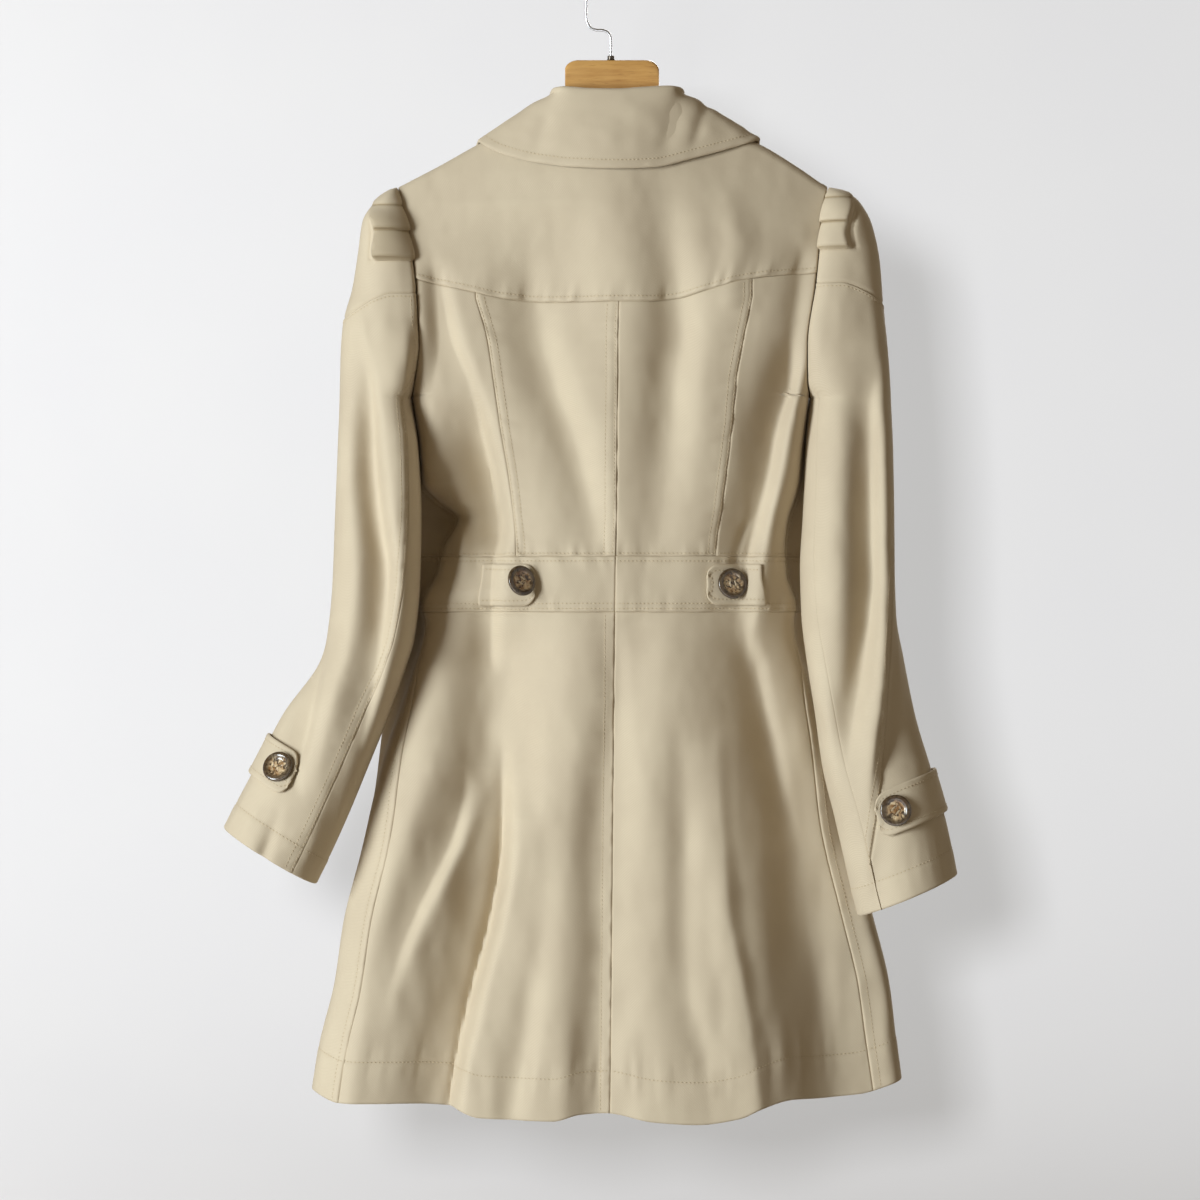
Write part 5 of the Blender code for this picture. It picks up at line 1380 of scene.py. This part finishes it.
def build_tab(side, band):
    """The waistband's half belt with one rounded end, and its button."""
    middle = (WAIST_TOP - TAB_Z) / (WAIST_TOP - WAIST_LOW)
    half = 0.5 * TAB_HEIGHT / (WAIST_TOP - WAIST_LOW)
    ends = [share_at(band, x, middle, 0.0, 2.0) for x in WAIST_TABS[side]]
    round_end = WAIST_TABS[side][1 if side < 0 else 0]

    def surface(g, f):
        place = ends[0] + g * (ends[1] - ends[0])
        x = band(place, 0 * f + middle)[..., 0]
        short = corner_share(np.abs(x - round_end), 0.5 * TAB_HEIGHT, TAB_CORNER)
        return band(place, middle + (2 * f - 1) * half * short)

    ends_rows = {"left": (EDGE_ROW,) if side > 0 else (), "right": (EDGE_ROW,) if side < 0 else ()}
    trim(f"waist_tab_{WORD[side]}", surface, 1.8, TAB_LIFT, 20 + side, "tabs", 0.12,
         **ends_rows, top=(EDGE_ROW,), low=(EDGE_ROW,))
    x, turn = WAIST_BUTTONS[side]
    place = share_at(band, x, middle, 0.0, 2.0)
    horn_button(f"waist_button_{WORD[side]}", band, place, middle, TAB_LIFT + TRIM, turn, seed=side + 2)


def build_fronts():
    waist, waist_low, underarm = level(WAIST_TOP), level(WAIST_LOW), level(UNDERARM_Z)
    for side, word in WORD.items():
        inset = UNDERLAP_INSET if side < 0 else 0.0
        lines = (front_edge(side), side_line(side, front=True))[::-side]
        opening = {WORD[-side]: (OPENING_ROW,), word: ()}
        top = roll_line(side)
        parts = (
            ("front", 3, (top, under_turn(top), below(underarm, top), waist), (), (WAIST_ROW,)),
            ("waistband_front", 1, (waist, waist_low), (BAND_TOP_ROW,), BAND_LOW_ROWS),
            ("skirt_front", 1, (waist_low, hem), (), (HEM_ROW,)),
        )
        for k, (name, down, levels, top_rows, low_rows) in enumerate(parts):
            piece(f"{name}_{word}", body_panel(lines, levels, inset), 1, down, FRONT_SPACING, 12 + 2 * k + side,
                  "front", **opening, top=top_rows, low=low_rows)
        trim(f"lapel_{word}", lapel(side, inset), 2.6, LAPEL_LIFT, 18 + side, "front", 0.15,
             **{word: (), WORD[-side]: (OPENING_ROW,)}, top=(LAPEL_TOP_ROW,), low=())


def front_buttons():
    """Three rows of two on the right front."""

    def surface(g, f):
        return body(front_position(1, -g, -f), -f)

    places = [(x, z) for z in FRONT_BUTTON_Z for x in (-FRONT_BUTTON_X, FRONT_BUTTON_X)]
    for number, (x, z) in enumerate(places, start=1):
        horn_button(f"front_button_{number}", surface, -x, -z, 0.3, 0.0, BUTTON_RADIUS, seed=number + 4)


def pleats(side):
    """The pleats of a sleeve's head, which stand up one over the other beside the armhole."""

    def relief(panel):
        away = np.minimum(panel.away["left"], panel.away["right"])
        end = PLEAT_REACH[side] + 2.0 * np.sin(panel.base[..., 2] / 7.0)
        strip = ease((away - 0.3) / 1.6) * ease((end - away) / 2.6)
        z = panel.base[..., 2]
        height = np.zeros(z.shape)
        upper = PLEAT_TOP
        for lower, rise in PLEATS[side]:
            t = (upper - z) / (upper - lower)
            inside = (t > 0) & (t <= 1)
            swell = PLEAT_REST + (rise - PLEAT_REST) * np.sin(0.5 * math.pi * np.clip(t, 0, 1))
            height = np.where(inside, swell, height)
            height = height - 1.6 * bell(z - lower + 0.9, 0.9)
            # painted shade in the crease under each pleat's lower edge
            panel.tone = panel.tone + 2.0 * strip * bell(z - lower + 0.7, 1.1)
            upper = lower
        # each pleat rises away from the armhole, and the cloth is creased where it ends
        first, last = PLEATS[side][0][0], PLEATS[side][-1][0]
        beside = ease((first + 1 - z) / 20.0) * ease((z - last + 2) / 3.0)
        rim = ease(away / end) * ease((end + 2.5 - away) / 4.5)
        height = height * strip + beside * (PLEAT_TILT[side] * rim - 2.4 * bell(away - end - 4.5, 2.2))
        # painted shade in the crease beyond the pleats' ends, and over the left sleeve's pleats, which face away
        # from the light
        panel.tone = panel.tone + 0.8 * beside * bell(away - end - 4.0, 1.3)
        panel.tone = panel.tone + PLEAT_SHADE[side] * beside * ease((end - away) / 3.0)
        return height

    return relief


def cap_rows(edges):
    """Grid shares down a sleeve's head, close together at the edges of its pleats."""
    heights = [PLEAT_TOP - PLEAT_START]
    for lower in edges:
        heights += list(np.arange(heights[-1] - 2.2, lower + 1.5, -2.2)) + [lower + 0.5, lower, lower - 0.5]
    shares_down = (heights[0] - np.array(heights)) / (heights[0] - edges[-1])
    return np.concatenate([shares_down[shares_down < 1], np.linspace(1, 2, 16)])


def build_sleeve(side):
    word, seam, cuff = WORD[side], cap_seam(side), cuff_edge(side)
    edges = [lower for lower, _ in PLEATS[side]]
    holes = (armhole_line(side, -1), armhole_line(side, 1))[::-side]
    head = sleeve_panel(side, holes, (level_round(PLEAT_TOP - PLEAT_START), level_round(edges[-1]), seam))
    panel = Panel(head, 1, 2, SLEEVE_SPACING, relief=pleats(side), rows=cap_rows(edges))
    panel.sew(30 + side, 0.3, left=(), right=(), low=()).settle()
    cloth(f"sleeve_cap_{word}", panel)

    front, back = (seam_line(side, "front_seam", -1), seam_line(side, "back_seam", 1))[::-side]
    levels = (seam, junction(side), cuff)
    upper = sleeve_panel(side, (front, back), levels)
    rows = {"left": (), "right": SLEEVE_SEAM_ROWS if side < 0 else (), "top": (CAP_ROW,), "low": (CUFF_ROW,)}
    if side < 0:
        panel = Panel(upper, 1, 2, SLEEVE_SPACING, SLEEVE_GAP)
        panel.sew(33 + side, 0.5, flat=("left",), **rows).settle()
    else:
        face = sleeve_panel(side, (front, outer_seam_line, back), levels)
        panel = Panel(face, 2, 2, SLEEVE_SPACING, SLEEVE_GAP, columns=columns_beside(face, SLEEVE_SPACING))
        panel.sew(33 + side, 0.5, flat=("left", "right"), **rows)
        outer_seam(panel)
    cloth(f"upper_sleeve_{word}", panel)
    sew_rows("sleeves", panel, **rows)

    under = (
        lambda z: np.radians(SLEEVES[side].at("back_seam", z)),
        lambda z: 2 * math.pi - np.radians(SLEEVES[side].at("front_seam", z)),
    )[::-side]
    piece(f"under_sleeve_{word}", sleeve_panel(side, under, (under_top(side), cuff)), 1, 1, SLEEVE_SPACING,
          36 + side, "sleeves", gap=SLEEVE_GAP, flat=("left", "right"), left=(), right=(), top=(), low=(CUFF_ROW,))
    build_strap(side, upper)


def outer_seam_line(z):
    """The angle round the right sleeve of its seam near the outer edge."""
    centre, half, *_ = sleeve_ring(1, z)
    return np.arccos(np.clip((RIGHT_SEAM.at("x", z) - centre) / half, -0.6, 0.96))


def columns_beside(surface, spacing, close=(0.7, 1.4, 2.2, 3.2)):
    """Grid shares across a surface of two stretches, closer together at its ends and at the line between them."""
    g, f = np.meshgrid(np.linspace(0, 2, 17), np.linspace(0, 2, 17), indexing="ij")
    wide = np.linalg.norm(np.diff(surface(g, f), axis=0), axis=-1).reshape(2, 8, -1).sum(1).max(1)
    marks = shares(wide, spacing)
    reach = close[-1] + 0.6 * spacing * FINE
    marks = marks[(marks < 1 - reach / wide[0]) | (marks > 1 + reach / wide[1])]
    steps = np.array(close)
    return np.sort(np.concatenate([marks, [1.0], 1 - steps / wide[0], 1 + steps / wide[1]]))


def outer_seam(panel):
    """The right sleeve's seam towards its outer edge, with its two rows of stitches."""
    middle = int(np.abs(panel.columns - 1).argmin())
    run = lengths(panel.base, 0)
    offset = run - run[middle]
    z = panel.base[..., 2]
    there = ease((RIGHT_SEAM.key[-1] - z) / 15.0)
    fold = there * (0.9 * bell(offset, 1.2) - 0.5 * bell(offset + 5.0, 4.0))
    panel.height = panel.height - fold
    panel.height = panel.height + 0.3 * there * bell(offset + 4.0, 6.0) * ripple(-z, 5.5, 21)
    # painted shade in the seam's groove
    panel.tone = panel.tone + 0.6 * there * bell(offset, 1.0)
    panel.settle()
    rows = [j for j in range(len(panel.rows)) if RIGHT_SEAM.key[0] < z[:, j].mean() < RIGHT_SEAM.key[-1]]
    for shift in (-2.2, -7.8):
        line, facing = (read_at(shift, offset, values, rows) for values in (panel.point, panel.facing))
        stitch("sleeves", line, unit(facing))


def build_strap(side, upper):
    """The strap round a cuff, rounded at its end on the back, and its button."""
    end_x, end_z, slope, *angles = CUFF_STRAPS[side]
    spans = [float(SLEEVES[side].at(name, end_z)) for name in ("front_seam", "back_seam")]
    round_end, far_end = ((angle + spans[0]) / sum(spans) for angle in angles)
    if side > 0:
        round_end, far_end = 1 - round_end, 1 - far_end
    first, last = min(round_end, far_end), max(round_end, far_end)
    across, down = 59, 119
    grid = np.meshgrid(np.linspace(first, last, across + 1), np.linspace(1.0, 2.0, down + 1), indexing="ij")
    sheet = upper(*grid)

    def on_sheet(g, f):
        i = np.clip((g - first) / (last - first) * across, 0, across - 0.001)
        j = np.clip((f - 1.0) * down, 0, down - 0.001)
        a, b = i.astype(int), j.astype(int)
        u, v = (i - a)[..., None], (j - b)[..., None]
        near = (1 - v) * sheet[a, b] + v * sheet[a, b + 1]
        far = (1 - v) * sheet[a + 1, b] + v * sheet[a + 1, b + 1]
        return (1 - u) * near + u * far

    def surface(g, f):
        place = first + g * (last - first)
        top, low = (on_sheet(place, 0 * place + row)[..., 2] for row in (1.0, 2.0))
        short = corner_share(np.abs(place - round_end) * STRAP_GIRTH, 0.5 * STRAP_WIDTH, STRAP_CORNER)
        half = 0.5 * STRAP_WIDTH * math.hypot(1, slope) * short
        row = 0 * place + 1.7
        for _ in range(8):
            z = end_z + slope * (on_sheet(place, row)[..., 0] - end_x) + (1 - 2 * f) * half
            row = 1 + (top - z) / (top - low)
        return on_sheet(place, row)

    rounded = "left" if round_end < far_end else "right"
    trim(f"cuff_strap_{WORD[side]}", surface, 2.2, STRAP_LIFT[side], 40 + side, "tabs", 0.12,
         top=(EDGE_ROW,), low=(EDGE_ROW,), **{rounded: (EDGE_ROW,)})

    def button_surface(g, f):
        return surface((g - first) / (last - first), f)

    place = round_end + math.copysign(CUFF_BUTTON_IN, far_end - round_end) / STRAP_GIRTH
    horn_button(f"cuff_button_{WORD[side]}", button_surface, place, 0.5, STRAP_LIFT[side] + TRIM, 0.0, 0.06,
                13 + side)


def build_collar():
    half = np.concatenate([np.linspace(0, 0.21, 34), np.linspace(0.216, 0.264, 17), np.linspace(0.27, 0.5, 40)])
    columns = np.concatenate([half, 1 - half[-2::-1]])
    stand, roll, fall = np.linspace(0, 1, 5), np.linspace(1, 2, 9), np.linspace(2, 2.9, 22)
    rows = np.concatenate([stand[:-1], roll[:-1], fall, [2.95, 2.975, 2.99, 3.0]])
    panel = Panel(collar, 1, 3, 3.0, columns=columns, rows=rows)
    x, z = panel.base[..., 0], panel.base[..., 2]
    fall = ease((rows - 1.8) / 0.3)[None] * ease((3.0 - rows) / 0.3)[None]
    panel.height = fall * (1.0 * waver(x, z, (28.0, 18.0), 5.2) + 0.4 * waver(x, z, (11.0, 9.0), 9.1))
    for at, width, depth in COLLAR_DENTS:
        panel.height = panel.height - fall * depth * bell(x - at - 0.3 * (z + 135), width)
    edges = {"left": (COLLAR_ENDS_ROW,), "right": (COLLAR_ENDS_ROW,), "low": (COLLAR_ROW,)}
    panel.sew(50, 0.4, 0.8, **edges).settle()
    cloth("collar", panel, thick=TRIM)
    sew_rows("collar", panel, **edges)


# ---------------------------------------------------------------- buttons, hanger and hook
BUTTON_RINGS = (  # from the middle of its face, over the rim and down: shares of its radius and height
    (0.0, 0.50), (0.05, 0.50), (0.10, 0.50), (0.15, 0.50), (0.19, 0.50), (0.23, 0.50), (0.27, 0.50), (0.31, 0.50),
    (0.35, 0.50), (0.40, 0.505), (0.46, 0.515), (0.52, 0.54), (0.57, 0.60), (0.61, 0.70), (0.66, 0.83),
    (0.71, 0.93), (0.77, 0.985), (0.83, 1.0), (0.88, 0.985), (0.93, 0.92), (0.965, 0.81), (0.985, 0.66),
    (0.99, 0.45), (0.985, 0.25), (0.95, 0.10), (0.88, 0.02), (0.80, 0.0),
)
BUTTON_SIDES = 56
HOLE_AT, HOLE_RADIUS, HOLE_DEPTH = 2.5, 1.15, 1.3


def horn_button(node, surface, g, f, lift, turn, reach=0.25, seed=0):
    """A round four-hole button with a raised rim, sewn on with thread."""
    point, across, down, normal = frame_at(surface, g, f)
    if turn:
        spin = Matrix.Rotation(math.radians(turn), 3, "Z")
        across, down, normal = (np.array(spin @ Vector(v)) for v in (across, down, normal))
    near = np.meshgrid(g + np.linspace(-reach, reach, 41), f + np.linspace(-reach, reach, 41))
    offset = surface(*near) - point
    aside = np.hypot(offset @ across, offset @ down)
    stand = (offset @ normal)[aside < (1.0 if turn else 0.75) * BUTTON_RADIUS].max() + lift + 0.4
    foot = point + stand * normal
    spin = math.radians(10 + 23 * seed)
    one = math.cos(spin) * across + math.sin(spin) * down
    two = -math.sin(spin) * across + math.cos(spin) * down
    sides = BUTTON_SIDES
    turns = 2 * math.pi * np.arange(sides) / sides
    vertices, tone = [], []
    for share, level_share in BUTTON_RINGS:
        r = BUTTON_RADIUS * share
        for t in turns if share else (0.0,):
            a, b = r * math.cos(t), r * math.sin(t)
            h = BUTTON_HEIGHT * level_share
            for ha in (-HOLE_AT, HOLE_AT):
                for hb in (-HOLE_AT, HOLE_AT):
                    gone = math.hypot(a - ha, b - hb) / HOLE_RADIUS
                    h -= HOLE_DEPTH * max(0.0, 1 - gone ** 4) if gone < 1 else 0.0
            vertices.append(foot + a * one + b * two + h * normal)
            tone.append(float(ease((share - 0.5) / 0.25)))
    faces = [[0, 1 + k, 1 + (k + 1) % sides] for k in range(sides)]
    for ring in range(len(BUTTON_RINGS) - 2):
        a, b = 1 + ring * sides, 1 + (ring + 1) * sides
        faces += [[a + k, b + k, b + (k + 1) % sides, a + (k + 1) % sides] for k in range(sides)]
    faces.append([1 + (len(BUTTON_RINGS) - 2) * sides + k for k in reversed(range(sides))])
    add_mesh("horn_" + node, vertices, faces, "horn", node, tone, sharp=60)
    top = foot + (0.5 * BUTTON_HEIGHT + 0.25) * normal
    for sign in (-1, 1):
        ends = [top + HOLE_AT * (sign * two - one), top + HOLE_AT * (sign * two + one)]
        for shift in (-0.35, 0.35):
            line = np.array([end + shift * two for end in ends])
            stitch("buttons", line, np.array([normal, normal]), 2 * HOLE_AT, 2 * HOLE_AT + 1.0, 0.34)


def build_hanger():
    """The wood, lofted along x: the arms under the shoulders and the higher neck between them."""
    reach = HANGER_REACH
    spots = np.unique(np.concatenate([
        np.linspace(-reach, reach, 150),
        HANGER_NECK_HALF * np.sin(np.linspace(-0.5 * math.pi, 0.5 * math.pi, 41)),
        [-HANGER_NECK_HALF - 0.2, HANGER_NECK_HALF + 0.2],
    ]))
    around = 28
    vertices = []
    for x in spots:
        away = (abs(x) - HANGER_NECK_HALF) / (reach - HANGER_NECK_HALF)
        top = float(SHOULDERS.at("z", x)) - HANGER_CLEAR - HANGER_ARM_DIP * max(0.0, 1 - away / HANGER_ARM_START)
        low = top - np.interp(away, [0, 1], HANGER_ARM_HEIGHTS)
        if away <= 0:
            low = float(SHOULDERS.at("z", HANGER_NECK_HALF)) - HANGER_CLEAR - HANGER_ARM_HEIGHTS[0]
            corner = max(0.0, (abs(x) - HANGER_NECK_FLAT) / HANGER_NECK_CORNER)
            top = HANGER_TOP - HANGER_NECK_ROUNDING * (1 - math.sqrt(1 - corner ** 2))
        full = HANGER_ARM_THINNER + (1 - HANGER_ARM_THINNER) * float(ease(away / HANGER_ARM_START))
        r = HANGER_HALF_THICKNESS * (full if away > 0 else 1)
        r *= math.sqrt(max(0.25, 1 - max(0.0, (abs(x) - reach + HANGER_END) / (HANGER_END + 1)) ** 2))
        middle, tall = 0.5 * (top + low), 0.5 * (top - low)
        for k in range(around):
            t = 2 * math.pi * k / around
            c, s = math.cos(t), math.sin(t)
            y = r * math.copysign(abs(c) ** 0.55, c)
            square = 0.55 if s < 0 else 0.75
            vertices.append((x, y, middle + tall * math.copysign(abs(s) ** square, s)))
    add_mesh("wood_hanger", vertices, tube(around, len(spots)), "wood", "hanger", sharp=45)


def smooth_path(points, steps):
    """Points along a smooth curve through the given ones."""
    points = np.asarray(points, float)
    before = np.concatenate([[2 * points[0] - points[1]], points, [2 * points[-1] - points[-2]]])
    made = []
    for k in range(len(points) - 1):
        a, b, c, d = before[k:k + 4]
        for t in np.linspace(0, 1, steps, endpoint=False):
            square, cube = 2 * a - 5 * b + 4 * c - d, 3 * b - a - 3 * c + d
            made.append(0.5 * (2 * b + (c - a) * t + square * t * t + cube * t ** 3))
    made.append(points[-1])
    return np.array(made)


def build_hook():
    """The bent wire, and the small ferrule where it enters the wood."""
    turns = np.radians(np.linspace(HOOK_TIP_ANGLE, 180, 17))
    path = [(HOOK_RADIUS * math.cos(t), HOOK_CENTRE_Z + HOOK_RADIUS * math.sin(t)) for t in turns]
    path = smooth_path(path + list(HOOK_PATH), 5)
    along = unit(np.gradient(path, axis=0))
    around = 16
    vertices = []
    for n, ((x, z), (dx, dz)) in enumerate(zip(path, along)):
        radius = 0.5 * WIRE * min(1.0, math.sqrt(max(0.02, 1 - (1 - n / 2.0) ** 2)) if n < 2 else 1.0)
        for k in range(around):
            turn = 2 * math.pi * k / around
            side, out = radius * math.cos(turn), radius * math.sin(turn)
            vertices.append((x - dz * out, side, z + dx * out))
    add_mesh("wire_hook", vertices, tube(around, len(path)), "steel", "hook", sharp=60)
    inner, outer, height = FERRULE
    waist = outer - 0.35
    profile = [(inner, 0.0), (outer - 0.3, 0.0), (outer, 0.3), (outer, 0.75), (waist, 1.0), (waist, height - 0.9),
               (outer - 0.2, height - 0.5), (outer - 0.6, height), (inner + 0.2, height), (inner, height - 0.3)]
    around = 32
    vertices = turned(profile, around, HOOK_PATH[-1][0], HANGER_TOP + SEAM_GAP)
    faces = tube(around, len(profile), closed=True)
    add_mesh("ring_hook_collar", vertices, faces, "dark", "hook_collar", sharp=40)


# ---------------------------------------------------------------- stage, light and camera
FLOOR_Z, BOWL_RADIUS, BOWL_BEND, BOWL_TOP = -1.95, 5.6, 1.5, 4.6
CAMERA_AT = (-0.0105, -3.455, -0.5517)
LENS = 118.6


def build_stage():
    """A pale floor that curves up into a pale wall, all round."""
    profile = [(0.02, 0.0), (1.2, 0.0), (2.6, 0.0), (BOWL_RADIUS - BOWL_BEND, 0.0)]
    for t in np.linspace(0, 0.5 * math.pi, 17)[1:]:
        profile.append((BOWL_RADIUS - BOWL_BEND + BOWL_BEND * math.sin(t), BOWL_BEND * (1 - math.cos(t))))
    profile += [(BOWL_RADIUS, 3.0), (BOWL_RADIUS, BOWL_TOP)]
    around = 96
    faces = tube(around, len(profile))[:-2] + [list(range(around))]
    mesh = bpy.data.meshes.new("studio_bowl")
    mesh.from_pydata(turned(profile, around, z=FLOOR_Z), [], faces)
    mesh.shade_smooth()
    mesh.materials.append(FINISH["stage"])
    made = put_in("studio_bowl", mesh)
    # the cloth's shaded side is lit by the studio's air alone, not by the wall
    made.visible_diffuse = False
    made.visible_shadow = False


def area_light(name, place, target, size, power, colour=(1.0, 1.0, 1.0)):
    data = bpy.data.lights.new(name, "AREA")
    data.shape = "RECTANGLE"
    data.size, data.size_y = size
    data.energy = power
    data.color = colour
    made = put_in(name, data)
    made.location = place
    made.rotation_euler = (Vector(target) - Vector(place)).to_track_quat("-Z", "Y").to_euler()
    made.visible_camera = False
    return made


def build_lights():
    area_light("key", (-4.0, -3.35, -0.3), (0.0, 0.0, -0.55), (1.45, 2.9), 362.0, (0.87, 0.945, 1.0))
    area_light("fill", (2.7, -2.3, -0.2), (0.0, 0.0, -0.55), (2.0, 2.0), 3.5, (1.0, 0.95, 0.87))
    area_light("front_key", (0.8, 3.3, 1.0), (0.0, 0.0, -0.5), (1.2, 1.8), 60.0, (1.0, 0.97, 0.93))
    area_light("wall_back", (-2.3, 1.9, 0.5), (-1.3, 5.6, -0.9), (2.4, 2.2), 76.0, (0.97, 0.98, 1.0))
    # lights only the wall, on which it throws the coat's soft shadow
    wall_light = area_light("wall_light", (-0.12, -3.5, -0.48), (0.0, 0.0, -0.55), (0.09, 0.09), 262.0,
                            (0.97, 0.98, 1.0))
    stage = bpy.data.collections.new("stage_only")
    stage.objects.link(bpy.data.objects["studio_bowl"])
    wall_light.light_linking.receiver_collection = stage
    world = bpy.data.worlds.new("studio air")
    world.use_nodes = True
    world.node_tree.nodes["Background"].inputs["Color"].default_value = (1.0, 0.81, 0.57, 1.0)
    world.node_tree.nodes["Background"].inputs["Strength"].default_value = 0.19
    bpy.context.scene.world = world
    bpy.context.scene.view_settings.view_transform = "Standard"


def build_camera():
    data = bpy.data.cameras.new("camera")
    data.lens = LENS
    data.sensor_width = 36.0
    data.clip_end = 50.0
    made = put_in("camera", data)
    made.location = CAMERA_AT
    made.rotation_euler = (0.5 * math.pi, 0.0, 0.0)
    bpy.context.scene.camera = made


build_camera()
build_back()
build_fronts()
front_buttons()
for sleeve_side in WORD:
    build_sleeve(sleeve_side)
build_collar()
build_hanger()
build_hook()
build_stitches()
build_stage()
build_lights()
